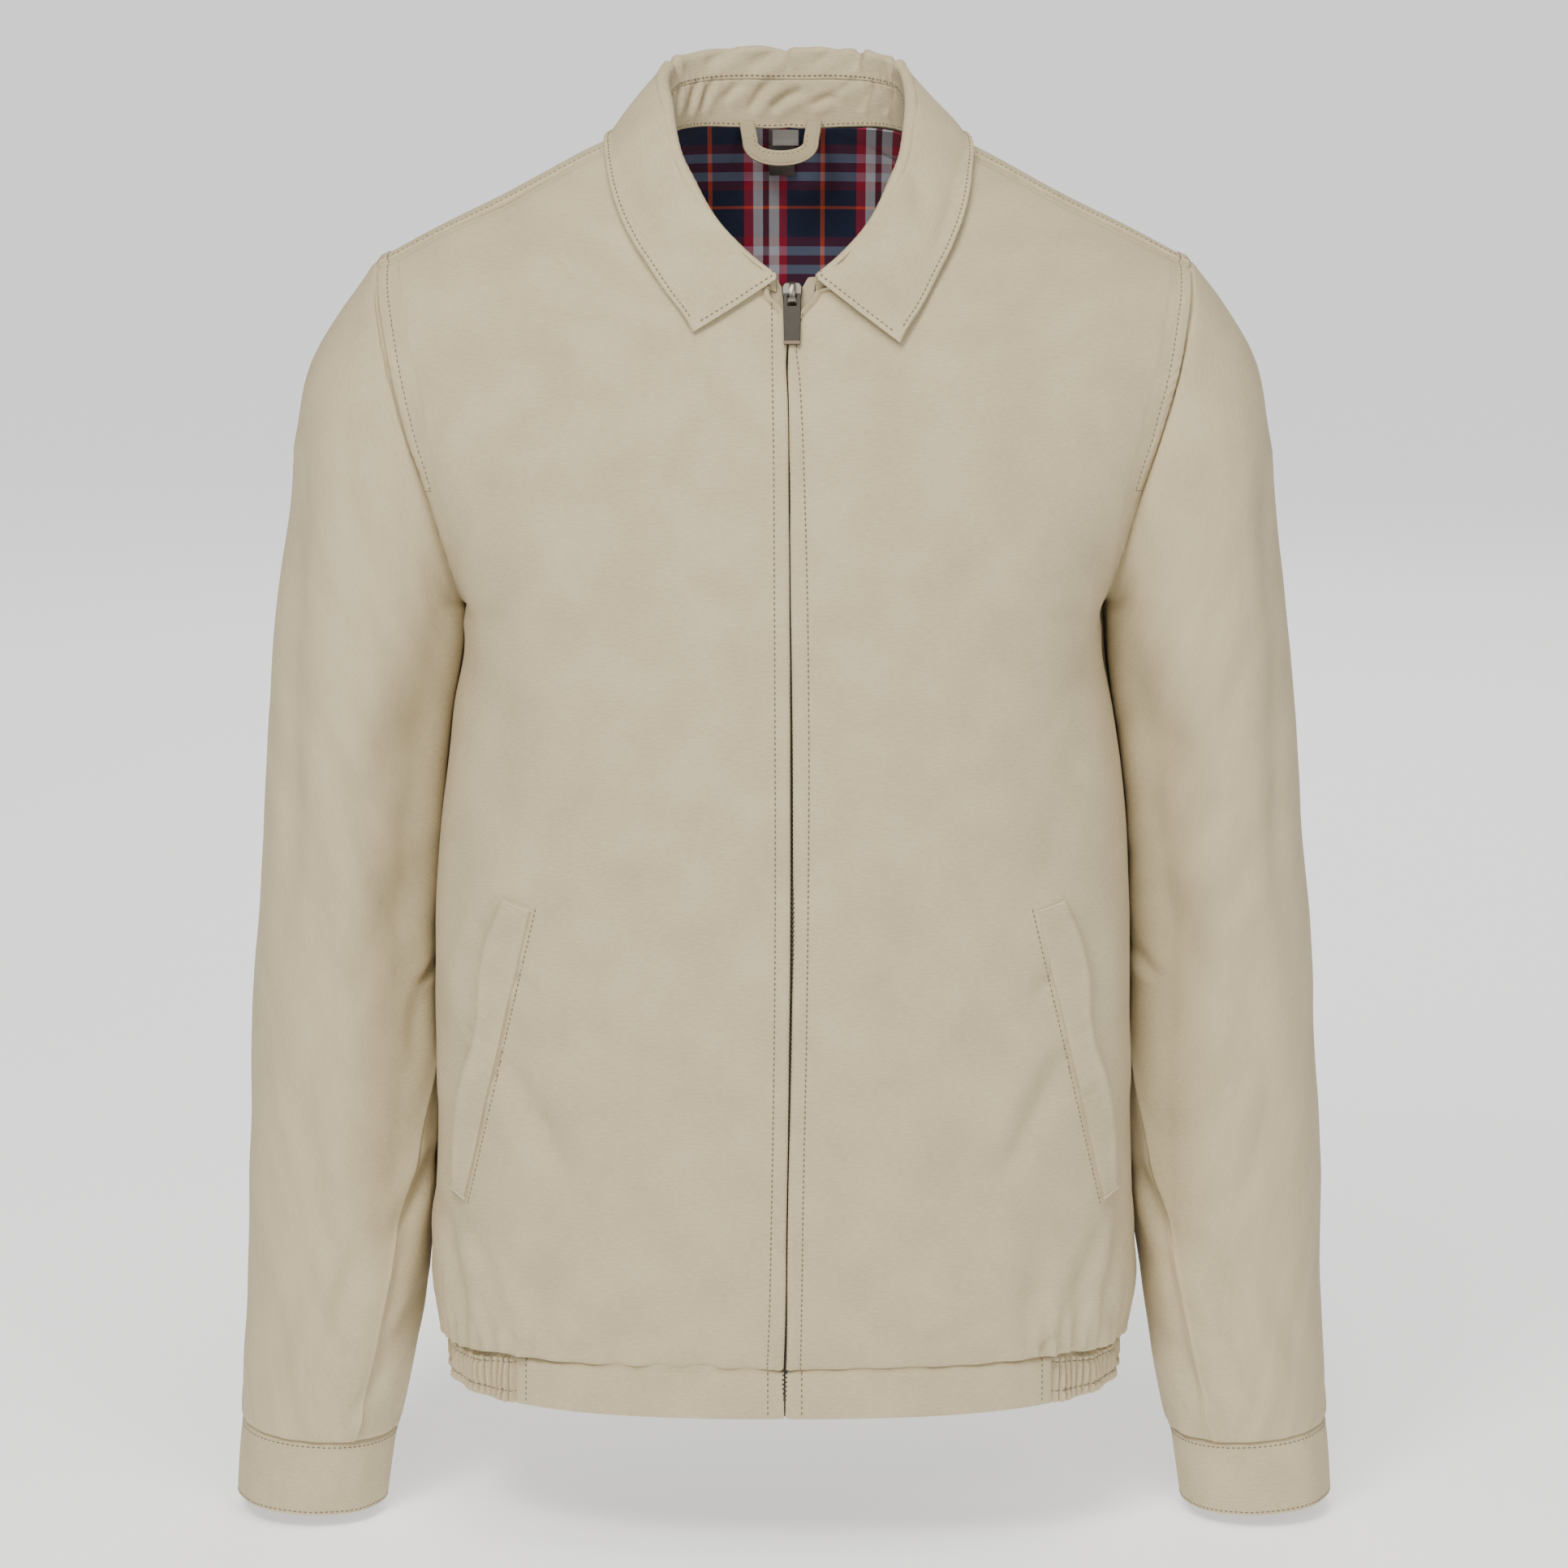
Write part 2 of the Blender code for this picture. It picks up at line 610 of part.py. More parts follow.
def neckline(turn):
    """Points on the torso's neckline, by the turn round it: 0 in the middle of the back, 180 in front."""
    sin, cos = np.sin(np.radians(turn)), np.cos(np.radians(turn))
    behind = cos > 0
    x = NECK_HALF_WIDTH * sin ** (2 / NECK_POWER)
    away = np.where(behind, NECK_BACK, NECK_FRONT) * np.abs(cos) ** (2 / NECK_POWER)
    depths = read(TORSO, ARMPIT_Z)
    share = np.where(behind, arc(away / depths[2], BACK_DOME_POWER), arc(away / depths[1], FRONT_DOME_POWER))
    z = ARMPIT_Z + share * (ridge(x) - ARMPIT_Z)
    return np.stack([x, np.where(behind, skin(x, z, 1), skin(x, z, -1)), z], -1)


def height_at(x, y):
    """The height of the torso's dome above a point of the plan, by halving."""
    low, high = np.full(np.shape(x), ARMPIT_Z), ridge(x)
    for _ in range(20):
        middle = (low + high) / 2
        inside = np.where(y < 0, -skin(x, middle, -1), skin(x, middle, 1)) > np.abs(y)
        low, high = np.where(inside, middle, low), np.where(inside, high, middle)
    return low


def rest_on_torso(points):
    """Points pushed out square to the torso until they lie clear of it."""
    step = 0.5
    for _ in range(3):
        x, y, z = np.moveaxis(points, -1, 0)
        top = height_at(x, y)
        slope_x = (height_at(x + step, y) - height_at(x - step, y)) / (2 * step)
        slope_y = (height_at(x, y + step) - height_at(x, y - step)) / (2 * step)
        normal = unit(np.stack([-slope_x, -slope_y, np.ones_like(slope_x)], -1))
        need = np.maximum(COLLAR_LIFT - (z - top) * normal[..., 2], 0.0)
        points = points + normal * need[..., None]
    return points


def half_collar(side):
    """One side's middle surface: from the middle of the back to its front end, and up, over and down."""
    share = np.linspace(0.0, 1.0, COLLAR_COLUMNS)
    turn, roll_x, roll_y, roll_z, edge_x, edge_y = read(COLLAR, share)
    if side < 0:
        edge_y = edge_y + RIGHT_POINT_BACK * smoothstep((share - 1 + RIGHT_POINT_OVER) / RIGHT_POINT_OVER)
    in_front = smoothstep((share - COLLAR_FRONT_FROM) / COLLAR_FRONT_OVER)[:, None]
    radius, bulge = (back + (front - back) * in_front for back, front in (COLLAR_ROLL, COLLAR_BULGE))
    neck = neckline(turn)
    roll = np.stack([roll_x, roll_y, roll_z], -1)
    edge = np.stack([edge_x, edge_y, height_at(edge_x, edge_y)], -1)
    up = unit(roll - neck)
    along = np.gradient(neck, axis=0)
    along[0] = (1.0, 0.0, 0.0)
    away = unit(np.cross(up, along))
    start = neck + up * STAND_RISE - away * COLLAR_CLOTH
    top = roll - up * radius - away * COLLAR_CLOTH / 2
    rise = [*np.linspace(0, STAND_SHARE, STAND_STEPS + 1), (1 + STAND_SHARE) / 2, 1.0]
    lines = [start + (top - start) * t for t in rise]
    for t in np.linspace(0, np.pi, FOLD_STEPS + 1)[1:-1]:
        lines.append(top + radius * (away * (1 - math.cos(t)) + up * math.sin(t)))
    leaf_start = top + 2 * radius * away
    leaf = []
    for t in np.linspace(0, 1, LEAF_STEPS + 1):
        leaf.append(leaf_start + (edge - leaf_start) * t + away * bulge * 4 * t * (1 - t))
    half = np.concatenate([np.stack(lines), rest_on_torso(np.stack(leaf))])
    half[..., 0] *= side
    follows = 1 - np.minimum(np.arange(len(half)) / len(rise), 1.0)[:, None]
    stays = smoothstep((half[..., 1] - LEAF_SHIFT_FROM) / LEAF_SHIFT_OVER) * (1 - follows)
    half[..., 0] += neck_shift(half[..., 1]) - NECK_SHIFT * stays
    return half


def collar_grid():
    """The collar's middle surface, from its right end to its left."""
    return np.concatenate([half_collar(-1)[:, :0:-1], half_collar(1)], axis=1)


def make_collar(cloth):
    """The stand inside the neck, and the leaf that is sewn to its top, rolls over and lies on the shoulders."""
    outer, inner = offset_sheets(collar_grid(), COLLAR_CLOTH)
    last = STAND_STEPS
    gap = STAND_GAP / 2
    stand = [sheet[: last + 1].copy() for sheet in (outer, inner)]
    leaf = [sheet[last:].copy() for sheet in (outer, inner)]
    for low, high in zip(stand, leaf):
        step = high[1] - high[0]
        step *= gap / np.linalg.norm(step, axis=-1, keepdims=True)
        low[-1] = low[-1] - step
        high[0] = high[0] + step
    grid_wall("collar_stand", *stand, cloth)
    grid_wall("collar_leaf", *leaf, cloth)


def make_welt(name, side, material):
    """A single welt along the pocket's slanting opening, made from the front's own surface moved out."""
    share = np.linspace(0.0, 1.0, WELT_ROWS)
    in_x, in_z, free_x, free_z = (column[:, None] for column in read(WELT, share))
    t = np.linspace(0.0, 1.0, WELT_COLUMNS)[None, :]
    x = in_x + (free_x - in_x) * t
    z = in_z + (free_z - in_z) * t
    low = WELT_GAP + fold_height(FRONT_FOLDS, x, z)
    sheets = [np.stack([side * x, skin(x, z, -1, low + lift), z], -1) for lift in (WELT_CLOTH, 0.0)]
    return grid_wall(name, *sheets, material)


def make_tape(material):
    rows = torso_rows(LOW_ROWS, FRONT_ANGLES, SEAM_ANGLE)
    heights = rows[0] + rows[1] * (ridge(0.0) - ARMPIT_Z)
    heights = np.array([TAPE_BOTTOM_Z, *heights[heights < TAPE_TOP_Z], TAPE_TOP_Z])[:, None]
    x = read(CLOSURE, heights)[0] + np.array([-1.0, 0.0, 1.0])[None, :] * TAPE_HALF_WIDTH
    z = np.broadcast_to(heights, x.shape)
    sheets = [np.stack([x, skin(x, z, -1, -TAPE_INSET - deep), z], -1) for deep in (0.0, TAPE_CLOTH)]
    return grid_wall("zip_tape", *sheets, material)


def upright_plate(name, outline, front, back, material, hole=None):
    """A flat plate through rows of (height, half width), or rows of x positions; hole leaves one cell out."""
    rows = np.array([[(x, 0.0, z) for x in xs] for z, xs in outline])
    quads = grid_quads(*rows.shape[:2])
    if hole is not None:
        quads = np.delete(quads, hole, axis=0)
    shift = np.array([0.0, 1.0, 0.0])
    return wall(name, rows - shift * front, rows + shift * back, quads, material)


def make_slider(material):
    """The slider's body and the bridge that stands over it, joined, on the lean of the chest."""
    frame = bpy.data.objects.new("slider_frame", None)
    bpy.context.scene.collection.objects.link(frame)
    frame.location = np.array([SLIDER_X, float(skin(SLIDER_X, SLIDER_Z, -1)), SLIDER_Z]) * MM
    frame.rotation_euler = (SLIDER_LEAN, 0.0, 0.0)
    outline = [(z, (-w, 0.0, w)) for z, w in reversed(SLIDER_HALF_WIDTHS)]
    body = upright_plate("zip_slider", outline, SLIDER_FRONT, SLIDER_BACK, material)
    inside = SLIDER_FRONT + BRIDGE_CLEAR

    def line(points, front, bottom, top):
        """Points of the side view; None stands for the root in the slider's body."""
        ys = [BRIDGE_ROOT if step is None else front + step for step, _ in points]
        zs = [bottom + rise if top is None else top - rise for _, rise in points]
        return list(zip(ys, zs))

    profile = line(BRIDGE_LOW, inside + BRIDGE_WALL, BRIDGE_BOTTOM, None)
    profile += line(BRIDGE_HIGH, inside + BRIDGE_WALL, None, BRIDGE_TOP)
    profile += line(BRIDGE_HIGH_INSIDE[::-1], inside, None, BRIDGE_TOP)
    profile += line(BRIDGE_LOW_INSIDE[::-1], inside, BRIDGE_BOTTOM, None)
    count = len(profile)
    points = [(x, -y, z) for x in (-BRIDGE_HALF_WIDTH, BRIDGE_HALF_WIDTH) for y, z in profile]
    faces = [tuple(range(count)), tuple(range(2 * count - 1, count - 1, -1))]
    faces += [(k, count + k, count + (k + 1) % count, (k + 1) % count) for k in range(count)]
    if volume(np.array(points), faces) < 0:
        faces = [face[::-1] for face in faces]
    bridge = new_object("slider_bridge", points, faces, material)
    bridge.hide_render = True
    bridge.display_type = "WIRE"
    join = body.modifiers.new("bridge", "BOOLEAN")
    join.operation = "UNION"
    join.object = bridge
    body.parent = frame
    bridge.parent = frame
    return frame


def make_pull(frame, material):
    """The tab that hangs from the bridge, with the window that the bridge passes through."""
    hinge = bpy.data.objects.new("pull_hinge", None)
    bpy.context.scene.collection.objects.link(hinge)
    hinge.parent = frame
    hinge.location = (0.0, -(SLIDER_FRONT + PIVOT_OUT) * MM, PIVOT_Z * MM)
    top, bottom = PULL_HALF_WIDTHS
    heights = (PULL_BAR, -PULL_BAR, -PULL_BAR - WINDOW_LENGTH, -PULL_LENGTH + PULL_BAR)
    widths = (top - 0.5, top, top, bottom)
    outline = [(z, (-w, -WINDOW_HALF_WIDTH, WINDOW_HALF_WIDTH, w)) for z, w in zip(heights, widths)]
    window_cell = 4
    pull = upright_plate("zip_pull", outline, PULL_THICK / 2, PULL_THICK / 2, material, hole=window_cell)
    pull.parent = hinge
    return pull


def make_loop(material):
    """The hanger loop: a flat strap sewn in under the stand at both ends, hanging in a shallow curve."""
    angles = np.linspace(0.0, np.pi, LOOP_STEPS)
    x = np.concatenate([[-1.0], -np.cos(angles) * LOOP_BEND, [1.0]]) * LOOP_HALF_SPREAD + LOOP_MIDDLE_X
    z = np.concatenate([[0.0], -LOOP_LEG - LOOP_SAG * np.sin(angles) ** LOOP_SQUARE, [0.0]]) + LOOP_TOP_Z
    run = unit(np.stack([np.gradient(x), np.gradient(z)], -1))
    run[0], run[-1] = (0.0, -1.0), (0.0, 1.0)
    width = np.array([-1.0, 1.0])[None, :] * LOOP_HALF_WIDTH
    x, z = x[:, None] - run[:, 1:] * width, z[:, None] + run[:, :1] * width
    sheets = [np.stack([x, np.full_like(x, y), z], -1) for y in (LOOP_Y, LOOP_Y + LOOP_CLOTH)]
    return grid_wall("hanger_loop", *sheets, material)


def make_label(name, x0, x1, z0, z1, deep, material):
    """A label lying on the lining, deep below the back's outer surface."""
    x, z = np.meshgrid(np.linspace(x0, x1, 2), np.linspace(z0, z1, LABEL_ROWS))
    sheets = [np.stack([x, skin(x, z, 1, -deep - more), z], -1) for more in (0.0, LABEL_CLOTH)]
    return grid_wall(name, *sheets, material)


def make_material(name):
    colour, roughness, metallic = COLOURS[name]
    material = bpy.data.materials.new(name)
    material.use_nodes = True
    shader = material.node_tree.nodes["Principled BSDF"]
    shader.inputs["Base Color"].default_value = (*colour, 1.0)
    shader.inputs["Roughness"].default_value = roughness
    shader.inputs["Metallic"].default_value = metallic
    return material


def main():
    for item in list(bpy.data.objects):
        bpy.data.objects.remove(item)
    materials = {name: make_material(name) for name in COLOURS}
    cloth = materials["cloth"]
    back_wall("back", 0.0, CLOTH, LOW_ROWS, -SEAM_ANGLE + SHOULDER_GAP_ANGLE, cloth)
    lining_end = -SEAM_ANGLE + LINING_GAP_ANGLE
    back_wall("lining_back", -LINING_DEEP, LINING, LINING_ROWS, lining_end, materials["lining"])
    closure_x = read(CLOSURE, BAND_TOP_Z)
    for side, word in ((-1, "right"), (1, "left")):
        make_front(f"front_{word}", side, cloth)
        make_sleeve(f"sleeve_{word}", side, cloth)
        make_cuff(f"cuff_{word}", side, cloth)
        make_elastic(f"hem_elastic_{word}", side, cloth)
        make_welt(f"pocket_welt_{word}", side, cloth)
        edge_x = float(closure_x[0] + side * closure_x[1])
        start = math.copysign(front_band_angle(edge_x), edge_x)
        make_band(f"hem_front_{word}", start, side * (ELASTIC_FROM - BAND_GAP_ANGLE), BAND_FRONT_COLUMNS, cloth)
    back_start, back_end = ELASTIC_TO + BAND_GAP_ANGLE, 360 - ELASTIC_TO - BAND_GAP_ANGLE
    make_band("hem_back", back_start, back_end, BAND_BACK_COLUMNS, cloth)
    make_collar(cloth)
    make_tape(materials["zip_tape"])
    frame = make_slider(materials["slider_metal"])
    make_pull(frame, materials["pull_metal"])
    make_loop(cloth)
    for name, *place, satin in LABELS:
        make_label(name, *place, materials[satin])


if __name__ == "__main__":
    main()
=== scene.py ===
"""The looks of a harrington jacket: cloth with its folds and sewing, plaid lining, zip and a pale floor.

Sizes are in millimetres until a mesh is made. +Z is up, the front faces -Y, the wearer's right side is at -X,
and the origin lies in the neck opening. Each cloth piece is a closed thin wall on a grid: its form, plus a
height along its own normal that holds folds, seams and edges.
"""

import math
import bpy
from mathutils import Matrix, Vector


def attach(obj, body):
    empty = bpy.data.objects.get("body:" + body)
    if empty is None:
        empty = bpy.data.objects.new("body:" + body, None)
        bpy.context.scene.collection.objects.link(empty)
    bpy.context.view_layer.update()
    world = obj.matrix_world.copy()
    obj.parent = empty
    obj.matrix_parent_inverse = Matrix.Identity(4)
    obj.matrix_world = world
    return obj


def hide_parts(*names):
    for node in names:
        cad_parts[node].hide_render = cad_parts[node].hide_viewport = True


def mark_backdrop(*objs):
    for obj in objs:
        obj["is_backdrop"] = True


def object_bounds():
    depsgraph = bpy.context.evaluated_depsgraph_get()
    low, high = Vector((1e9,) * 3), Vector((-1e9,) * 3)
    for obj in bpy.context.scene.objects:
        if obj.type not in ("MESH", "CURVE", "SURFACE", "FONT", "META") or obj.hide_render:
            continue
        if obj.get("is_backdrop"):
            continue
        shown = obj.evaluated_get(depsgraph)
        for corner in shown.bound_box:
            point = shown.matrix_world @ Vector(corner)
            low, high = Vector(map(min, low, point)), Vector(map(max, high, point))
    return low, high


bl_info = {
    "name": "Harrington jacket",
    "version": (1, 0, 0),
    "blender": (4, 5, 0),
    "location": "View3D > Sidebar > Jacket",
    "description": "Builds the cloth, sewing, zip and lining of a harrington jacket",
    "category": "Object",
}

from types import SimpleNamespace

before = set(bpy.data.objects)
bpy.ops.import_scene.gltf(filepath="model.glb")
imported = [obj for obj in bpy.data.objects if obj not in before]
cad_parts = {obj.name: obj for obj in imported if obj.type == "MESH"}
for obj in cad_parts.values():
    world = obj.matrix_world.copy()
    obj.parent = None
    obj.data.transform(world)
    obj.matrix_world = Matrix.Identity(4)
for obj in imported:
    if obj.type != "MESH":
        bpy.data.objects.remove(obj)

import bpy
import numpy as np
from mathutils import Vector

MM = 0.001

# ---- form: the same sizes as the solids

CLOTH = 1.6
LINING = 1.0
SEAM_GAP = 0.4
ARMHOLE_GAP = 0.6
PLAN_POWER = 2.5
FRONT_DOME_POWER = 1.6
BACK_DOME_POWER = 2.2
ARMPIT_Z = -250.0
ARMHOLE_FRACTION = 0.72
ARMHOLE_POWER = 0.4
HEM_SEAM_Z = -650.0
SIDE_DROP = 5.0
SIDE_DROP_FROM = 150.0
SIDE_DROP_OVER = 30.0
SEAM_ANGLE = 15.0
SHOULDER_GAP_ANGLE = 0.35
LINING_GAP_ANGLE = 2.0
PANEL_WIDTH = 190.0
# a point inside the body, which its surfaces face away from
TORSO_MIDDLE = (0.0, 0.0, -350.0)

# height, half width, front depth, back depth
TORSO = (
    (-656.0, 184.5, 107.8, 101.0),
    (-650.0, 186.8, 107.8, 101.0),
    (-640.0, 190.0, 110.8, 104.0),
    (-622.0, 193.2, 114.0, 107.0),
    (-600.0, 192.0, 116.5, 110.0),
    (-530.0, 189.0, 121.0, 115.0),
    (-425.0, 187.8, 125.0, 120.0),
    (-355.0, 183.5, 127.0, 123.0),
    (-309.0, 177.3, 127.0, 124.0),
    (-282.0, 173.5, 126.0, 123.5),
    (ARMPIT_Z, 171.5, 124.0, 122.0),
)
# distance from the middle, height of the shoulder ridge
RIDGE = (
    (0.0, 24.0),
    (30.0, 20.0),
    (50.0, 12.0),
    (58.0, 7.0),
    (65.0, 2.0),
    (80.0, 0.0),
    (95.0, -4.7),
    (102.0, -8.0),
    (150.0, -33.8),
    (185.0, -51.0),
    (216.0, -67.5),
    (240.0, -80.0),
)
# share of the dome's height, distance of the armhole seam from the middle
ARMHOLE = (
    (0.0, 171.5),
    (0.09, 176.0),
    (0.206, 182.3),
    (0.3, 187.4),
    (0.385, 192.3),
    (0.455, 197.0),
    (0.556, 202.3),
    (0.68, 208.0),
    (0.81, 212.4),
    (0.91, 215.3),
    (1.0, 215.7),
)
# height, how far the side drop of the hem reaches up
DROP = ((-656.0, 1.0), (-650.0, 1.0), (-643.0, 0.7), (-630.0, 0.3), (-610.0, 0.0), (-600.0, 0.0))
NECK_POWER = 2.2
NECK_HALF_WIDTH = 65.0
NECK_FRONT = 82.5
NECK_BACK = 55.0
NECK_SHIFT = 2.5
NECK_FRONT_SHIFT = 4.0
# height, where the zip runs, half the opening between the two front edges
CLOSURE = (
    (-680.0, -1.0, 0.9),
    (-650.0, 0.4, 0.9),
    (-560.0, 1.8, 0.8),
    (-430.0, 3.8, 0.8),
    (-290.0, 3.8, 0.8),
    (-175.0, 2.6, 0.8),
    (-130.0, 2.2, 0.8),
    (-113.0, 1.6, 0.9),
    (-95.0, 2.9, 1.2),
    (-86.0, 4.2, 4.2),
    (-79.0, 4.0, 10.6),
    (-74.0, 4.6, 11.8),
    (-68.0, 6.7, 10.6),
)
# Soft swells and hollows of the fronts: from x, z to x, z, half width, height outwards
FRONT_FOLDS = (
    (178, -255, 120, -420, 18, -2.2),
    (150, -560, 60, -650, 16, 1.5),
)
# along, inner x, inner z, outer x, outer z, middle y, half depth
SLEEVE = (
    (12, 173.2, -254.5, 223.5, -76.5, 3, 58),
    (30, 174.2, -258.0, 238.0, -96.0, 5, 62),
    (55, 175.6, -264.0, 253.5, -124.0, 6, 66),
    (85, 177.2, -272.0, 261.8, -162.0, 8, 69),
    (120, 178.7, -284.0, 266.8, -208.0, 10, 71),
    (165, 181.2, -305.0, 272.0, -258.0, 12, 72),
    (215, 184.6, -332.0, 276.6, -306.0, 14, 72),
    (265, 187.8, -368.0, 281.3, -355.0, 17, 70.5),
    (330, 190.2, -424.0, 286.5, -418.0, 23, 68),
    (400, 191.6, -484.0, 291.3, -480.0, 25, 65),
    (470, 192.6, -552.0, 293.9, -550.0, 20, 61),
    (530, 195.7, -612.0, 296.0, -610.0, 14, 58),
    (580, 203.0, -661.0, 297.8, -659.0, 9, 55),
    (615, 209.0, -698.0, 299.4, -694.0, 6, 52),
    (628, 212.8, -713.2, 300.2, -707.4, 5, 49.5),
)
SLEEVE_POWER = 2.15
# Soft folds of a sleeve: angle round it and distance along it at both ends, half width, height outwards
SLEEVE_FOLDS = (
    (62, 110, 45, 400, 16, -2.0),
    (150, 280, 70, 420, 22, -2.5),
    (150, 480, 60, 600, 20, -2.0),
    (-60, 280, -130, 420, 24, -2.5),
)
# along the sleeve, angle of its front seam
SLEEVE_SEAM = (
    (0.0, 178.0),
    (330.0, 177.0),
    (380.0, 168.0),
    (406.0, 156.0),
    (423.0, 149.0),
    (441.0, 144.0),
    (458.0, 140.5),
    (493.0, 136.0),
    (528.0, 130.5),
    (580.0, 123.5),
    (628.0, 119.0),
)
CUFF = (
    (0, 214.3, -714.0, 299.8, -708.0, 5, 47.5),
    (20, 217.4, -734.5, 301.8, -729.5, 5, 46.6),
    (39, 220.4, -754.5, 303.2, -750.5, 5, 46),
)
BAND_HALF_WIDTH = 182.3
BAND_FRONT = 107.3
BAND_BACK = 100.5
BAND_TOP_Z = -650.5
BAND_BOTTOM_Z = -677.5
BAND_HEIGHT = BAND_TOP_Z - BAND_BOTTOM_Z
BAND_MIDDLE = (0.0, 0.0, -660.0)
ELASTIC_FROM = 49.0
ELASTIC_TO = 131.0
BAND_GAP_ANGLE = 0.2
BAND_DROP_LEAD = 6.0
# Collar, half of it: share, turn round the neckline, roll x, y, z, outer edge x, y
COLLAR = (
    (0.000, 0.0, 0, 57, 41, 0, 65),
    (0.112, 22.3, 26, 54.5, 41, 30, 61.5),
    (0.221, 50.0, 48, 44, 38.5, 58, 47),
    (0.292, 66.3, 59, 30, 35.5, 76, 35),
    (0.354, 77.0, 62.5, 15, 31, 88, 18),
    (0.417, 90.0, 63, 0, 24, 95, 0),
    (0.496, 105.0, 62, -19, 14.5, 96.5, -14),
    (0.571, 110.0, 60, -32, 2.5, 95.7, -25),
    (0.642, 116.4, 57.3, -43, -10, 93.5, -38),
    (0.712, 127.0, 51.5, -53, -22, 89.5, -49.5),
    (0.790, 138.8, 43, -63, -36, 82.5, -61),
    (0.875, 151.2, 32, -72, -50, 72.6, -71.8),
    (0.942, 161.4, 21.5, -77.5, -60.5, 62.8, -80.5),
    (1.000, 172.3, 10.5, -81.5, -68.5, 53.0, -89.3),
)
COLLAR_CLOTH = 1.6
# how round the fold is and how far the leaf stands out, at the back and in front
COLLAR_ROLL = (2.8, 1.9)
COLLAR_BULGE = (3.6, 1.6)
COLLAR_FRONT_FROM = 0.4
COLLAR_FRONT_OVER = 0.35
# how much less the right point reaches forward, over the last share of the collar
RIGHT_POINT_BACK = 2.1
RIGHT_POINT_OVER = 0.3
# the leaf isn't shifted with the neckline behind this y
LEAF_SHIFT_FROM = -20.0
LEAF_SHIFT_OVER = 40.0
COLLAR_LIFT = 3.0
STAND_SHARE = 0.62
STAND_RISE = 1.3
# share of the length, edge towards the zip x and z, free edge x and z
WELT = (
    (0.0, 131.5, -399.5, 148.5, -395.0),
    (0.2, 138.5, -429.0, 160.5, -427.0),
    (0.45, 149.0, -474.0, 165.5, -472.0),
    (0.68, 157.5, -511.0, 176.0, -508.0),
    (1.0, 171.0, -569.0, 181.0, -564.0),
)
WELT_CLOTH = 1.6
WELT_GAP = 0.9
TAPE_TOP_Z = -74.5
TAPE_BOTTOM_Z = -676.0
TAPE_HALF_WIDTH = 6.0
TAPE_INSET = 2.9
TAPE_CLOTH = 1.2
SLIDER_X = 4.2
SLIDER_Z = -77.8
SLIDER_LEAN = math.radians(-22.0)
LINING_DEEP = 2.45
LINING_FROM_Z = -643.0
LOOP_MIDDLE_X = -1.8
LOOP_HALF_SPREAD = 18.3
LOOP_LEG = 10.5
LOOP_SAG = 9.5
LOOP_HALF_WIDTH = 4.2
LOOP_TOP_Z = 2.4
LOOP_Y = 47.0
LOOP_CLOTH = 1.2
# name, slot, colour, cut length in metres, x from, x to, z from, z to, deep
LABELS = (
    ("size_label", "size_satin", (0.58, 0.56, 0.53), 0.0125, -6.2, 7.8, -11.4, -2.5, 5.7),
    ("neck_label", "neck_satin", (0.10, 0.075, 0.07), 0.031, -8.0, 5.8, -28.6, -2.5, 4.5),
)
LABEL_CLOTH = 0.6


def read(table, at):
    """The columns of a table, read smoothly (cubic Hermite) at the values at of its first column."""
    rows = np.asarray(table, float)
    knots, values = rows[:, 0], rows[:, 1:]
    slopes = np.gradient(values, knots, axis=0)
    at = np.clip(np.asarray(at, float), knots[0], knots[-1])
    i = np.clip(np.searchsorted(knots, at, side="right") - 1, 0, len(knots) - 2)
    step = (knots[i + 1] - knots[i])[..., None]
    t = (at - knots[i])[..., None] / step
    start = (1 + 2 * t) * (1 - t) ** 2 * values[i] + t * (1 - t) ** 2 * step * slopes[i]
    end = t**2 * (3 - 2 * t) * values[i + 1] + t**2 * (t - 1) * step * slopes[i + 1]
    return np.moveaxis(start + end, -1, 0)


def smoothstep(t):
    """0 below 0 and 1 above 1, with the curve t * t * (3 - 2 * t) between."""
    t = np.clip(t, 0.0, 1.0)
    return t * t * (3 - 2 * t)


def arc(share, power):
    """The other leg of a superellipse: (1 - share ** power) ** (1 / power)."""
    return (1.0 - np.clip(np.abs(share), 0.0, 1.0) ** power) ** (1.0 / power)


def bell(distance, width):
    """A bell curve: 1 at no distance, exp(-1) at the width."""
    return np.exp(-((distance / width) ** 2))


def fold_height(folds, across, along):
    """Soft folds: each is a bell across its straight line, faded by a half sine from end to end."""
    total = np.zeros(np.broadcast(across, along).shape)
    for a0, b0, a1, b1, half_width, height in folds:
        run = np.array([a1 - a0, b1 - b0], float)
        length = np.hypot(*run)
        run /= length
        forward = (across - a0) * run[0] + (along - b0) * run[1]
        sideways = (across - a0) * run[1] - (along - b0) * run[0]
        fade = np.sin(np.pi * np.clip(forward / length, 0.0, 1.0)) ** 0.7
        total = total + height * fade * np.exp(-((sideways / half_width) ** 2) * 2.0)
    return total


def ridge(x):
    """Height of the shoulder ridge."""
    return read(RIDGE, np.abs(x))[0]


def dome_power(face):
    """Power of the dome's superellipse, in front or behind."""
    return FRONT_DOME_POWER if face < 0 else BACK_DOME_POWER


def side_reach(height, share):
    """Half width of the plan curve: of the ring below the armpit, and of the dome at the armhole."""
    low = read(TORSO, np.minimum(height, ARMPIT_Z))[0]
    seam = np.where(share > 0, read(ARMHOLE, share)[0], low)
    return seam / arc(ARMHOLE_FRACTION * share**ARMHOLE_POWER, PLAN_POWER)


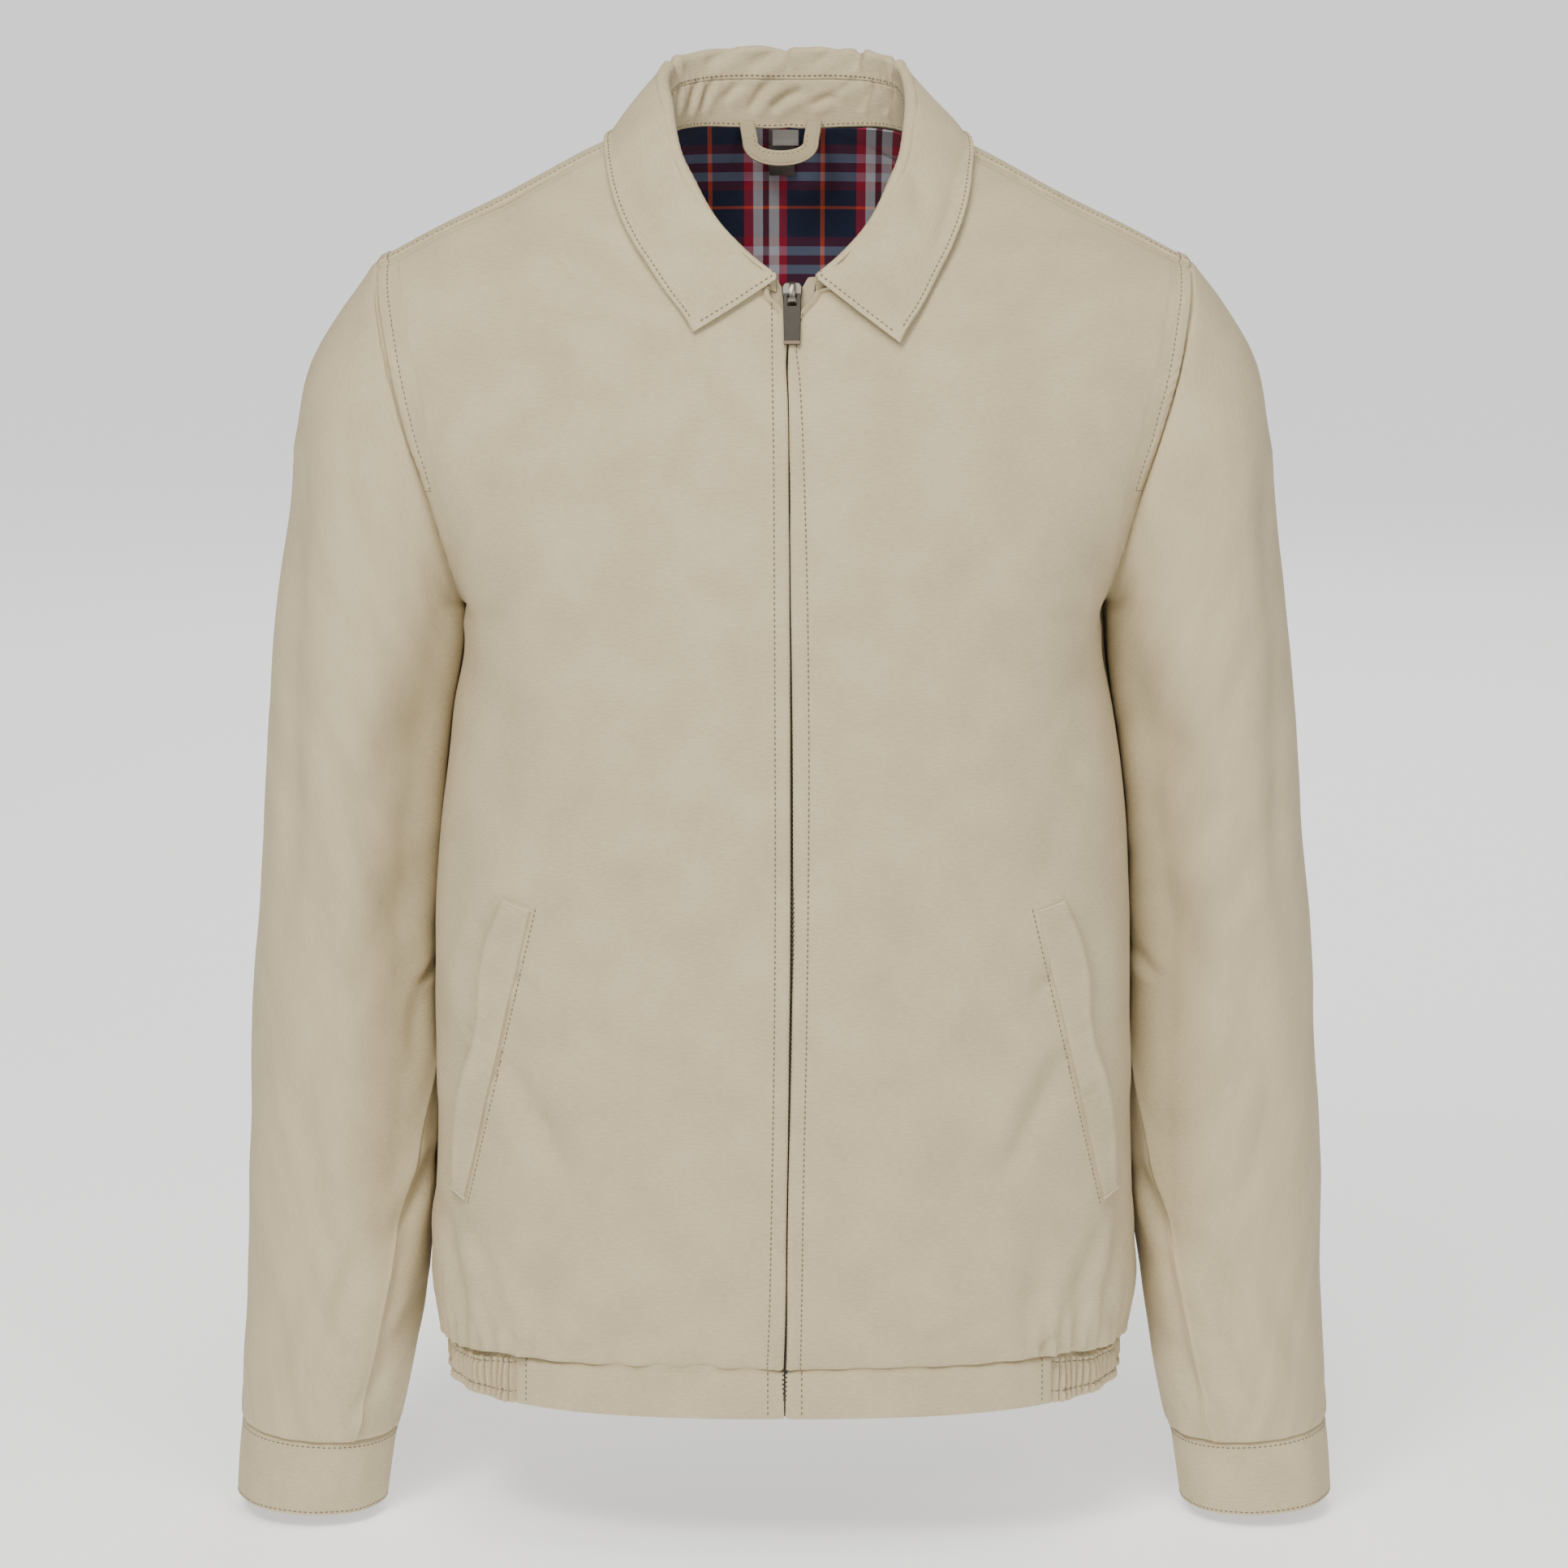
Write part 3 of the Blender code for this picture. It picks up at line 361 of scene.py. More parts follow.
def skin(x, z, face, out=0.0):
    """The y of the cloth at x and z: a superellipse ring, closed over the top by a superellipse dome."""
    crest = ridge(x) + out
    share = np.clip((z - ARMPIT_Z) / (crest - ARMPIT_Z), 0.0, 1.0)
    depths = read(TORSO, np.minimum(z, ARMPIT_Z))
    depth = (depths[1] if face < 0 else depths[2]) + out
    across = arc(np.abs(x) / (side_reach(z, share) + out), PLAN_POWER)
    fall = arc(share, dome_power(face))
    return face * (SEAM_GAP / 2 * (1 - share) + depth * fall * across)


def hem_drop(x):
    """How much lower the hem seam lies towards the sides."""
    return SIDE_DROP * smoothstep((np.abs(x) - SIDE_DROP_FROM) / SIDE_DROP_OVER)


def neck_x(share, face):
    """Where a row of the dome meets the neckline (a superellipse in plan), from the middle of the neck."""
    depth = read(TORSO, ARMPIT_Z)[1 if face < 0 else 2]
    reach = NECK_FRONT if face < 0 else NECK_BACK
    return NECK_HALF_WIDTH * arc(depth * arc(share, dome_power(face)) / reach, NECK_POWER)


def neck_shift(y):
    """The neck opening lies a little to one side, more so in front."""
    return NECK_SHIFT + NECK_FRONT_SHIFT * np.clip(-y / NECK_FRONT, 0.0, 1.0) ** 2


def panel_points(side, face, rows, inner_x, u, out, folds=()):
    """Points from inner_x out to the side seam or armhole, a line for each row, at shares u of the way."""
    heights, shares, drops = (value[:, None] for value in rows)
    fraction = ARMHOLE_FRACTION * shares**ARMHOLE_POWER
    edge = np.where(shares > 0, read(ARMHOLE, shares)[0], read(TORSO, heights - SIDE_DROP * drops)[0])
    edge = edge + out * (1 - fraction)
    round_share = (1 - shares) ** 2
    spread = round_share * np.sin(u[None, :] * np.pi / 2) + (1 - round_share) * u[None, :]
    x = inner_x[:, None] + (side * edge - inner_x[:, None]) * spread
    z = heights - drops * hem_drop(x) + shares * (ridge(x) + out - ARMPIT_Z)
    lift = fold_height(folds, np.abs(x), z) if folds else 0.0
    return np.stack([x, skin(x, z, face, out + lift), z], axis=-1)


def ring(section, angles):
    """A closed superellipse ring; angle 0 is its outer point and a quarter turn its front."""
    inner_x, inner_z, outer_x, outer_z, middle_y, half_depth = section
    cos, sin = np.cos(angles), np.sin(angles)
    c = np.sign(cos) * np.abs(cos) ** (2 / SLEEVE_POWER)
    s = np.sign(sin) * np.abs(sin) ** (2 / SLEEVE_POWER)
    x = (outer_x + inner_x) / 2 + (outer_x - inner_x) / 2 * c
    z = (outer_z + inner_z) / 2 + (outer_z - inner_z) / 2 * c
    return np.stack([x, middle_y - half_depth * s, z], axis=-1)


def middles(rings):
    """The middle of each ring's box."""
    return (rings.max(axis=1, keepdims=True) + rings.min(axis=1, keepdims=True)) / 2


def on_side(side, *grids):
    """Grids built for the wearer's left, mirrored when the side is -1."""
    return [grid * np.array([side, 1.0, 1.0]) for grid in grids]


def armhole_rim(angles, under=0.0):
    """The armhole seam as a ring just outside the torso's edge, or moved in under the body."""
    shares = (1 + np.cos(np.radians(angles))) / 2
    x = read(ARMHOLE, shares)[0] - under
    z = ARMPIT_Z + shares * (ridge(x) - ARMPIT_Z)
    y = np.where(angles > 0, skin(x, z, -1), skin(x, z, 1))
    y = np.where((angles == 0) | (np.abs(angles) == 180), 0.0, y)
    return np.stack([x + ARMHOLE_GAP, y, z], axis=-1)


def band_points(angles, height_shares):
    """Points of the hem band, a superellipse; angle 0 is the front's middle, a quarter turn the side."""
    sin, cos = np.sin(angles), np.cos(angles)
    depth = np.where(cos > 0, BAND_FRONT, BAND_BACK)
    x = BAND_HALF_WIDTH * np.sign(sin) * np.abs(sin) ** (2 / PLAN_POWER)
    y = -depth * np.sign(cos) * np.abs(cos) ** (2 / PLAN_POWER)
    top = BAND_TOP_Z - hem_drop(np.abs(x) + BAND_DROP_LEAD)
    z = BAND_BOTTOM_Z + height_shares[:, None] * (top - BAND_BOTTOM_Z)
    return np.stack(np.broadcast_arrays(x, y, z), axis=-1)


def front_band_angle(x):
    """The band's angle at a distance from the middle."""
    return math.degrees(math.asin((abs(x) / BAND_HALF_WIDTH) ** (PLAN_POWER / 2)))


def neckline(turn):
    """Points on the neckline, a superellipse in plan, by the turn round it: 0 behind, 180 in front."""
    sin, cos = np.sin(np.radians(turn)), np.cos(np.radians(turn))
    behind = cos > 0
    x = NECK_HALF_WIDTH * sin ** (2 / NECK_POWER)
    away = np.where(behind, NECK_BACK, NECK_FRONT) * np.abs(cos) ** (2 / NECK_POWER)
    depths = read(TORSO, ARMPIT_Z)
    share = np.where(behind, arc(away / depths[2], BACK_DOME_POWER), arc(away / depths[1], FRONT_DOME_POWER))
    z = ARMPIT_Z + share * (ridge(x) - ARMPIT_Z)
    return np.stack([x, np.where(behind, skin(x, z, 1), skin(x, z, -1)), z], -1)


def height_at(x, y):
    """The height of the torso's dome above a point of the plan, by halving."""
    low, high = np.full(np.shape(x), ARMPIT_Z), ridge(x)
    for _ in range(20):
        middle = (low + high) / 2
        inside = np.where(y < 0, -skin(x, middle, -1), skin(x, middle, 1)) > np.abs(y)
        low, high = np.where(inside, middle, low), np.where(inside, high, middle)
    return low


def rest_on_torso(points):
    """Points pushed out square to the torso until they lie clear of it."""
    step = 0.5
    for _ in range(3):
        x, y, z = np.moveaxis(points, -1, 0)
        top = height_at(x, y)
        slope_x = (height_at(x + step, y) - height_at(x - step, y)) / (2 * step)
        slope_y = (height_at(x, y + step) - height_at(x, y - step)) / (2 * step)
        normal = unit(np.stack([-slope_x, -slope_y, np.ones_like(slope_x)], -1))
        need = np.maximum(COLLAR_LIFT - (z - top) * normal[..., 2], 0.0)
        points = points + normal * need[..., None]
    return points


# ---- grids, heights and walls

# random phases of waves are drawn from 0 to this
ABOUT_A_TURN = 6.3


def cloth_settings():
    """The scene's settings for cloth and thread."""
    return bpy.context.scene.jacket_cloth


def unit(vectors):
    """Vectors made one long."""
    return vectors / np.maximum(np.linalg.norm(vectors, axis=-1, keepdims=True), 1e-9)


def spaced(length, step, fine=()):
    """Positions from 0 to length about step apart, closer round each fine (place, reach, share of step)."""
    s = np.linspace(0.0, length, 4001)
    pace = np.full_like(s, step)
    for place, reach, share in fine:
        pace *= 1 - (1 - share) * bell(s - place, reach)
    total = np.concatenate([[0.0], np.cumsum((1 / pace[1:] + 1 / pace[:-1]) / 2 * np.diff(s))])
    return np.interp(np.linspace(0.0, total[-1], max(2, round(total[-1])) + 1), total, s)


def slopes(points, axis, closed=False):
    """Directions along a grid: the mean of the unit steps to both neighbours."""
    if closed:
        steps = unit(np.roll(points, -1, axis=axis) - points)
        return steps + np.roll(steps, 1, axis=axis)
    steps = unit(np.diff(points, axis=axis))
    first, last = np.take(steps, [0], axis=axis), np.take(steps, [-1], axis=axis)
    return np.concatenate([first, steps], axis=axis) + np.concatenate([steps, last], axis=axis)


def normals(points, closed=False, away_from=None):
    """The grid's own normals, turned away from the given points."""
    normal = unit(np.cross(slopes(points, 1, closed), slopes(points, 0)))
    if away_from is None:
        return normal
    return normal * np.where(np.sum(normal * (points - away_from)) < 0, -1.0, 1.0)


def run_length(points, axis):
    """Distance from the grid's first line, measured along the other lines."""
    steps = np.linalg.norm(np.diff(points, axis=axis), axis=-1)
    shape = list(steps.shape)
    shape[axis] = 1
    return np.concatenate([np.zeros(shape), np.cumsum(steps, axis=axis)], axis=axis)


def line_distance(x, z, line):
    """Signed distance from points to a bent line in x and z, and the share of its length they lie at."""
    best = np.full(x.shape, 1e9)
    share, side = np.zeros(x.shape), np.ones(x.shape)
    for k, (start, stop) in enumerate(zip(line[:-1], line[1:])):
        run = stop - start
        t = np.clip(((x - start[0]) * run[0] + (z - start[1]) * run[1]) / (run @ run), 0.0, 1.0)
        dx, dz = x - start[0] - t * run[0], z - start[1] - t * run[1]
        far = np.hypot(dx, dz)
        near = far < best
        best = np.where(near, far, best)
        share = np.where(near, (k + t) / (len(line) - 1), share)
        side = np.where(near, np.sign(dx * run[1] - dz * run[0]), side)
    return best * side, share


def bent(x0, z0, xm, zm, x1, z1, steps=12):
    """Points of a parabola from one end to the other, through the middle point halfway."""
    t = np.linspace(0.0, 1.0, steps + 1)[:, None]
    a, m, b = np.array([x0, z0]), np.array([xm, zm]), np.array([x1, z1])
    return a * (1 - t) * (1 - 2 * t) + m * 4 * t * (1 - t) + b * t * (2 * t - 1)


def creases(x, z, table):
    """Heights of bent creases: a bell of the distance, with a softer opposite swell on each side."""
    total = np.zeros(x.shape)
    for x0, z0, xm, zm, x1, z1, width, height in table:
        reach = 5 * width
        near = (x > min(x0, xm, x1) - reach) & (x < max(x0, xm, x1) + reach)
        near &= (z > min(z0, zm, z1) - reach) & (z < max(z0, zm, z1) + reach)
        if not near.any():
            continue
        far, share = line_distance(x[near], z[near], bent(x0, z0, xm, zm, x1, z1))
        q = far / width
        fade = np.sin(np.pi * np.clip(share, 0.0, 1.0)) ** 0.6
        beside = 0.5 * bell(q - 1.9, 1.3) + 0.2 * bell(q + 1.9, 1.4)
        total[near] += height * fade * (bell(q, 1.0) - beside)
    return total * cloth_settings().fold_depth


def swell(points, seed, size, height):
    """A slow unevenness: eight plane waves of fixed directions and phases, about size long."""
    chance = np.random.default_rng(seed)
    total = np.zeros(points.shape[:-1])
    for _ in range(8):
        direction = unit(chance.normal(size=3)) / (size * chance.uniform(0.7, 1.5))
        total += np.sin(2 * np.pi * (points @ direction + chance.uniform()))
    return total * height / 4


def uneven(s, seed, pitch):
    """A wavy line of uneven pitch: a sine whose phase wanders by three slow sines."""
    chance = np.random.default_rng(seed)
    wander = sum(0.5 * np.sin(s / (pitch * k) + chance.uniform(0, ABOUT_A_TURN)) for k in (1.3, 2.1, 3.7))
    size = 0.7 + 0.3 * np.sin(s / (pitch * 1.7) + chance.uniform(0, ABOUT_A_TURN))
    return np.sin(2 * np.pi * s / pitch + wander) * size


def puckers(along, seed, across, pitch, height, place, reach):
    """Small puckers: an uneven wave along a seam, times a bell of the distance across it."""
    return uneven(along, seed, pitch) * height * bell(across - place, reach) * cloth_settings().pucker_depth


def rolled(distance, radius):
    """How far an edge rolls down: radius minus the quarter circle's height."""
    t = np.clip(1 - distance / radius, 0.0, 1.0)
    return radius * (1 - np.sqrt(1 - t * t))


def groove(distance, width, depth):
    """A bell-shaped groove."""
    return -depth * bell(distance, width)


def grid_quads(rows, columns, closed=False):
    """Index quads of a grid of points; closed joins the last column to the first."""
    i, j = np.meshgrid(np.arange(rows - 1), np.arange(columns if closed else columns - 1), indexing="ij")
    nxt = (j + 1) % columns
    quads = np.stack([i * columns + j, i * columns + nxt, (i + 1) * columns + nxt, (i + 1) * columns + j], -1)
    return quads.reshape(-1, 4)


def add_object(name, data):
    """An object that holds the data, linked into the scene."""
    item = bpy.data.objects.new(name, data)
    bpy.context.scene.collection.objects.link(item)
    return item


def new_object(name, points, faces, material, uv=None, smooth=True, body="jacket", sharp=50):
    """A mesh object from points in millimetres and arrays of faces, riding on its body."""
    mesh = bpy.data.meshes.new(name)
    loops = np.concatenate([np.ravel(f) for f in faces]).astype(np.int32)
    sizes = np.concatenate([np.full(len(f), f.shape[1]) for f in faces])
    mesh.vertices.add(len(points))
    mesh.vertices.foreach_set("co", (np.asarray(points) * MM).astype(np.float32).ravel())
    mesh.loops.add(len(loops))
    mesh.loops.foreach_set("vertex_index", loops)
    mesh.polygons.add(len(sizes))
    mesh.polygons.foreach_set("loop_start", (np.cumsum(sizes) - sizes).astype(np.int32))
    mesh.update(calc_edges=True)
    if uv is not None:
        layer = mesh.uv_layers.new(name="cut")
        layer.data.foreach_set("uv", (np.asarray(uv) * MM)[loops].astype(np.float32).ravel())
    mesh.validate()
    mesh.materials.append(material)
    if smooth:
        mesh.shade_smooth()
        mesh.set_sharp_from_angle(angle=math.radians(sharp))
    item = add_object(name, mesh)
    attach(item, body)
    return item


def volume(points, quads):
    """Six times the volume inside quads."""
    a, b, c, d = (points[quads[:, k]] for k in range(4))
    return np.sum(a * (np.cross(b, c) + np.cross(c, d)))


def wall(name, outer, inner, quads, material, uv=None, **more):
    """A closed wall between two sheets of the same points: both sheets, and a strip along every open edge."""
    outer, inner = np.reshape(outer, (-1, 3)), np.reshape(inner, (-1, 3))
    used = np.unique(quads)
    place = np.full(len(outer), -1)
    place[used] = np.arange(len(used))
    sheet = place[quads]
    count = len(used)
    points = np.concatenate([outer[used], inner[used]])
    edges = np.concatenate([sheet[:, [k, (k + 1) % 4]] for k in range(4)])
    there, back = edges[:, 0] * count + edges[:, 1], edges[:, 1] * count + edges[:, 0]
    rim = edges[~np.isin(there, back)]
    strip = np.stack([rim[:, 1], rim[:, 0], rim[:, 0] + count, rim[:, 1] + count], -1)
    faces = np.concatenate([sheet, sheet[:, ::-1] + count, strip])
    if volume(points, faces) < 0:
        faces = faces[:, ::-1]
    if uv is not None:
        uv = np.reshape(uv, (-1, 2))[used]
        uv = np.concatenate([uv, uv])
    return new_object(name, points, [faces], material, uv, **more)


def grid_wall(name, outer, inner, material, closed=False, uv=None, **more):
    """A closed wall on a grid of points."""
    rows, columns = outer.shape[:2]
    return wall(name, outer, inner, grid_quads(rows, columns, closed), material, uv, **more)


# ---- sewing

STITCH_PITCH = 2.9
STITCH_LENGTH = 2.2
STITCH_THICK = 1.0


def on_grid(points, normal, xz):
    """Points and normals on the front of a grid at the given x, z: the plane of the nearest grid point."""
    flat, turn = points.reshape(-1, 3), normal.reshape(-1, 3)
    facing = turn[:, 1] < -0.05
    flat, turn = flat[facing], turn[facing]
    away_x, away_z = xz[:, None, 0] - flat[None, :, 0], xz[:, None, 1] - flat[None, :, 2]
    nearest = np.argmin(away_x**2 + away_z**2, axis=1)
    place, turn = flat[nearest], turn[nearest]
    rise = turn[:, 0] * (xz[:, 0] - place[:, 0]) + turn[:, 2] * (xz[:, 1] - place[:, 2])
    return np.stack([xz[:, 0], place[:, 1] - rise / turn[:, 1], xz[:, 1]], -1), turn


def inset(points, normal, distance, value):
    """The line on a grid where the distance, which grows along each row, has a value."""
    places, turns = [], []
    for row, turn, far in zip(points, normal, distance):
        places.append([np.interp(value, far, row[:, k]) for k in range(3)])
        turns.append([np.interp(value, far, turn[:, k]) for k in range(3)])
    return np.array(places), unit(np.array(turns))


def stitches(path, normal, pitch=STITCH_PITCH, length=STITCH_LENGTH, thick=STITCH_THICK, closed=False):
    """Stitches along a path: short five-sided lozenges, half sunk in the cloth. Returns points and faces."""
    thick = thick * cloth_settings().thread_thickness
    if closed:
        path, normal = np.concatenate([path, path[:1]]), np.concatenate([normal, normal[:1]])
    far = np.concatenate([[0.0], np.cumsum(np.linalg.norm(np.diff(path, axis=0), axis=1))])
    count = max(1, int(far[-1] / pitch))
    middle = (np.arange(count) + 0.5) * far[-1] / count

    def at(values, s):
        return np.stack([np.interp(s, far, values[:, k]) for k in range(3)], -1)

    start, stop = at(path, middle - length / 2), at(path, middle + length / 2)
    up = unit(at(normal, middle))
    run = unit(stop - start)
    across = unit(np.cross(run, up))
    turn = np.arange(5) * 2 * np.pi / 5 + np.pi / 2
    rings = []
    for t, size, sink in ((-0.5, 0.45, -0.45), (0.0, 1.0, 0.1), (0.5, 0.45, -0.45)):
        centre = at(path, middle) + run * t * length + up * thick / 2 * sink
        spoke = across[:, None] * np.cos(turn)[None, :, None] * thick / 2
        spoke = spoke + up[:, None] * np.sin(turn)[None, :, None] * thick / 2
        rings.append(centre[:, None] + spoke * size)
    points = np.stack(rings, 1).reshape(-1, 3)
    quads = grid_quads(3, 5, True)
    caps = np.array([[0, 4, 3, 2, 1], [10, 11, 12, 13, 14]])
    base = (np.arange(count) * 15)[:, None, None]
    return points, (quads[None] + base).reshape(-1, 4), (caps[None] + base).reshape(-1, 5)


def sew(name, rows, material):
    """One object of thread from several rows of stitches."""
    points, quads, caps, count = [], [], [], 0
    for p, q, c in rows:
        points.append(p)
        quads.append(q + count)
        caps.append(c + count)
        count += len(p)
    return new_object(name, np.concatenate(points), [np.concatenate(quads), np.concatenate(caps)], material)


# ---- materials


def new_material(name, colour, roughness, metallic=0.0, sheen=0.0):
    """A Principled material with its constant values set on the shader."""
    material = bpy.data.materials.new(name)
    material.use_nodes = True
    shader = material.node_tree.nodes["Principled BSDF"]
    shader.inputs["Base Color"].default_value = (*colour, 1.0)
    shader.inputs["Roughness"].default_value = roughness
    shader.inputs["Metallic"].default_value = metallic
    shader.inputs["Sheen Weight"].default_value = sheen
    return material


class Graph:
    """Short calls that add linked nodes to a material."""

    def __init__(self, material):
        self.tree = material.node_tree
        self.shader = self.tree.nodes["Principled BSDF"]

    def add(self, kind, inputs=(), **settings):
        node = self.tree.nodes.new(kind)
        for key, value in settings.items():
            setattr(node, key, value)
        for key, value in dict(inputs).items():
            if isinstance(value, bpy.types.NodeSocket):
                self.tree.links.new(value, node.inputs[key])
            else:
                node.inputs[key].default_value = value
        return node

    def math(self, operation, a, b=0.0, c=0.0):
        return self.add("ShaderNodeMath", {0: a, 1: b, 2: c}, operation=operation).outputs[0]

    def uv(self):
        return self.add("ShaderNodeUVMap", uv_map="cut").outputs[0]

    def scaled(self, vector, x, y, z=1.0):
        return self.add("ShaderNodeMapping", {"Vector": vector, "Scale": (x, y, z)}).outputs[0]

    def noise(self, vector, scale, detail=2.0):
        return self.add("ShaderNodeTexNoise", {"Vector": vector, "Scale": scale, "Detail": detail}).outputs[0]

    def ramp(self, value, stops, steps=True):
        node = self.add("ShaderNodeValToRGB", {0: value})
        ramp = node.color_ramp
        ramp.interpolation = "CONSTANT" if steps else "LINEAR"
        while len(ramp.elements) < len(stops):
            ramp.elements.new(0.5)
        for element, (at, colour) in zip(ramp.elements, stops):
            element.position = at
            element.color = (*colour, 1.0)
        return node.outputs[0]

    def mix(self, share, a, b, blend="MIX"):
        node = self.add("ShaderNodeMix", data_type="RGBA", blend_type=blend)
        for key, value in ((0, share), (6, a), (7, b)):
            if isinstance(value, bpy.types.NodeSocket):
                self.tree.links.new(value, node.inputs[key])
            else:
                node.inputs[key].default_value = value
        return node.outputs[2]

    def bump(self, height, distance):
        node = self.add("ShaderNodeBump", {"Height": height, "Distance": distance, "Strength": 1.0})
        self.tree.links.new(node.outputs[0], self.shader.inputs["Normal"])

    def colour(self, value):
        self.tree.links.new(value, self.shader.inputs["Base Color"])


COTTON = (0.565, 0.478, 0.305)
COTTON_DARK = (0.47, 0.394, 0.247)
# thread: yellower than the cloth, and darker than the thread itself as painted shade of its holes and grooves
THREAD_WITH_PAINTED_SHADE = (0.20, 0.15, 0.082)
PALE_THREAD = (0.66, 0.58, 0.42)


def cotton():
    """Beige cotton: a fine weave with faint ribs across, and a slight unevenness of tone."""
    material = bpy.data.materials.get("beige_cotton")
    if material:
        return material
    settings = cloth_settings()
    material = new_material("beige_cotton", settings.cloth_colour, 0.9, sheen=0.04)
    g = Graph(material)
    g.shader.inputs["Sheen Roughness"].default_value = 0.5
    g.shader.inputs["Specular IOR Level"].default_value = 0.25
    uv = g.uv()
    ribs = g.noise(g.scaled(uv, 260, 900), 1.0, 2.0)
    weave = g.noise(g.scaled(uv, 900, 1100), 1.0, 1.0)
    tone = g.noise(g.scaled(uv, 30, 30), 1.0, 3.0)
    share = g.math("ADD", g.math("MULTIPLY", ribs, 0.5), g.math("MULTIPLY", tone, 0.5))
    g.colour(g.ramp(share, ((0.34, settings.dark_colour), (0.62, settings.cloth_colour)), steps=False))
    g.bump(g.math("ADD", g.math("MULTIPLY", ribs, 0.7), g.math("MULTIPLY", weave, 0.3)), 0.00022)
    return material


def pale_thread():
    """The paler thread of the bartacks."""
    name, colour = "pale_thread", cloth_settings().tack_colour
    return bpy.data.materials.get(name) or new_material(name, colour, 0.6, sheen=0.2)


def thread():
    """Sewing thread, darker and yellower than the cloth."""
    name, colour = "beige_thread", cloth_settings().thread_and_shade_colour
    return bpy.data.materials.get(name) or new_material(name, colour, 0.7, sheen=0.2)


NAVY = (0.014, 0.026, 0.075)
RED = (0.66, 0.012, 0.06)
DARK_RED = (0.20, 0.008, 0.035)
WHITE = (0.95, 0.94, 0.98)
ORANGE = (0.95, 0.13, 0.03)
SLATE = (0.32, 0.39, 0.55)
WINE = (0.19, 0.012, 0.05)
WARP_PERIOD = 61.5
WEFT_PERIOD = 53.0
# share of the period, colour; the warp runs down the back and the weft across it
WARP = (
    (0.0, ORANGE),
    (0.038, NAVY),
    (0.32, RED),
    (0.40, WHITE),
    (0.488, DARK_RED),
    (0.541, WHITE),
    (0.629, RED),
    (0.70, NAVY),
)
WEFT = (
    (0.0, ORANGE),
    (0.028, NAVY),
    (0.33, WINE),
    (0.43, SLATE),
    (0.53, WINE),
    (0.63, SLATE),
    (0.73, WINE),
    (0.83, NAVY),
)
WARP_START = -41.6
WEFT_START = -45.6


def plaid():
    """Plaid lining: stripes of warp and weft mixed by a fine twill, and brighter where pale ones cross."""
    material = bpy.data.materials.get("plaid_lining")
    if material:
        return material
    material = new_material("plaid_lining", NAVY, 0.75, sheen=0.1)
    g = Graph(material)
    uv = g.uv()
    parts = g.add("ShaderNodeSeparateXYZ", {0: uv})
    u, v = parts.outputs[0], parts.outputs[1]
    across = g.math("FRACT", g.math("DIVIDE", g.math("SUBTRACT", u, WARP_START * MM), WARP_PERIOD * MM))
    down = g.math("FRACT", g.math("DIVIDE", g.math("SUBTRACT", WEFT_START * MM, v), WEFT_PERIOD * MM))
    warp, weft = g.ramp(across, WARP), g.ramp(down, WEFT)
    twill = g.math("SINE", g.math("MULTIPLY", g.math("ADD", u, v), 2 * math.pi / (0.9 * MM)))
    share = g.math("ADD", 0.46, g.math("MULTIPLY", twill, 0.12))
    both = g.mix(1.0, warp, weft, "MULTIPLY")
    g.colour(g.mix(1.0, g.mix(share, warp, weft), both, "SCREEN"))
    g.bump(twill, 0.00005)
    return material


# ---- cloth pieces


def declare(node, with_pieces=()):
    """Puts a piece of cloth in a node's place, with its material slot and its cut size in metres."""
    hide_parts(node)


def torso_rows(face, last_angle, step, fine=(), low_from=HEM_SEAM_Z):
    """Height, share of the dome and hem drop of rows about step apart, closer at the fine dome angles."""
    angles = np.linspace(180.0, last_angle, 1500)
    shares = (1 + np.cos(np.radians(angles))) / 2
    z = ARMPIT_Z + shares * (ridge(100.0) - ARMPIT_Z)
    run = run_length(np.stack([skin(np.full_like(z, 100.0), z, face), z], -1)[:, None], 0)[:, 0]
    low = ARMPIT_Z - low_from
    spots = [(0.0, 12.0, 0.6)]
    spots += [(low + np.interp(-a, -angles, run), reach, share) for a, reach, share in fine]
    at = spaced(low + run[-1], step, spots)
    heights = np.minimum(low_from + at, ARMPIT_Z)
    turned = np.radians(np.interp(at - low, run, angles))
    return heights, np.where(at > low, (1 + np.cos(turned)) / 2, 0.0), read(DROP, heights)[0]


# Seeds of the uneven waves; a piece that comes in pairs adds its side, -1 or 1
SEEDS = {
    "back_swell": 3,
    "zip_puckers": 5,
    "front_armhole": 7,
    "front_swell": 11,
    "front_gathers": 17,
    "back_armhole": 27,
    "front_small_swell": 31,
    "shoulder_puckers": 41,
    "back_gathers": 47,
    "sleeve_swell": 61,
    "sleeve_small_swell": 71,
    "sleeve_cap": 81,
    "sleeve_end": 91,
    "cuff_creases": 101,
    "cuff_puckers": 103,
    "elastic_ribs": 113,
    "hem_front": 131,
    "hem_back": 137,
    "welt": 141,
    "collar_swell": 151,
    "stand_seam": 157,
    "collar_rim": 159,
    "leaf_edge": 161,
}
# the slow waves beside the gathers have the gathers' seed and this
EASE_SEED_STEP = 2

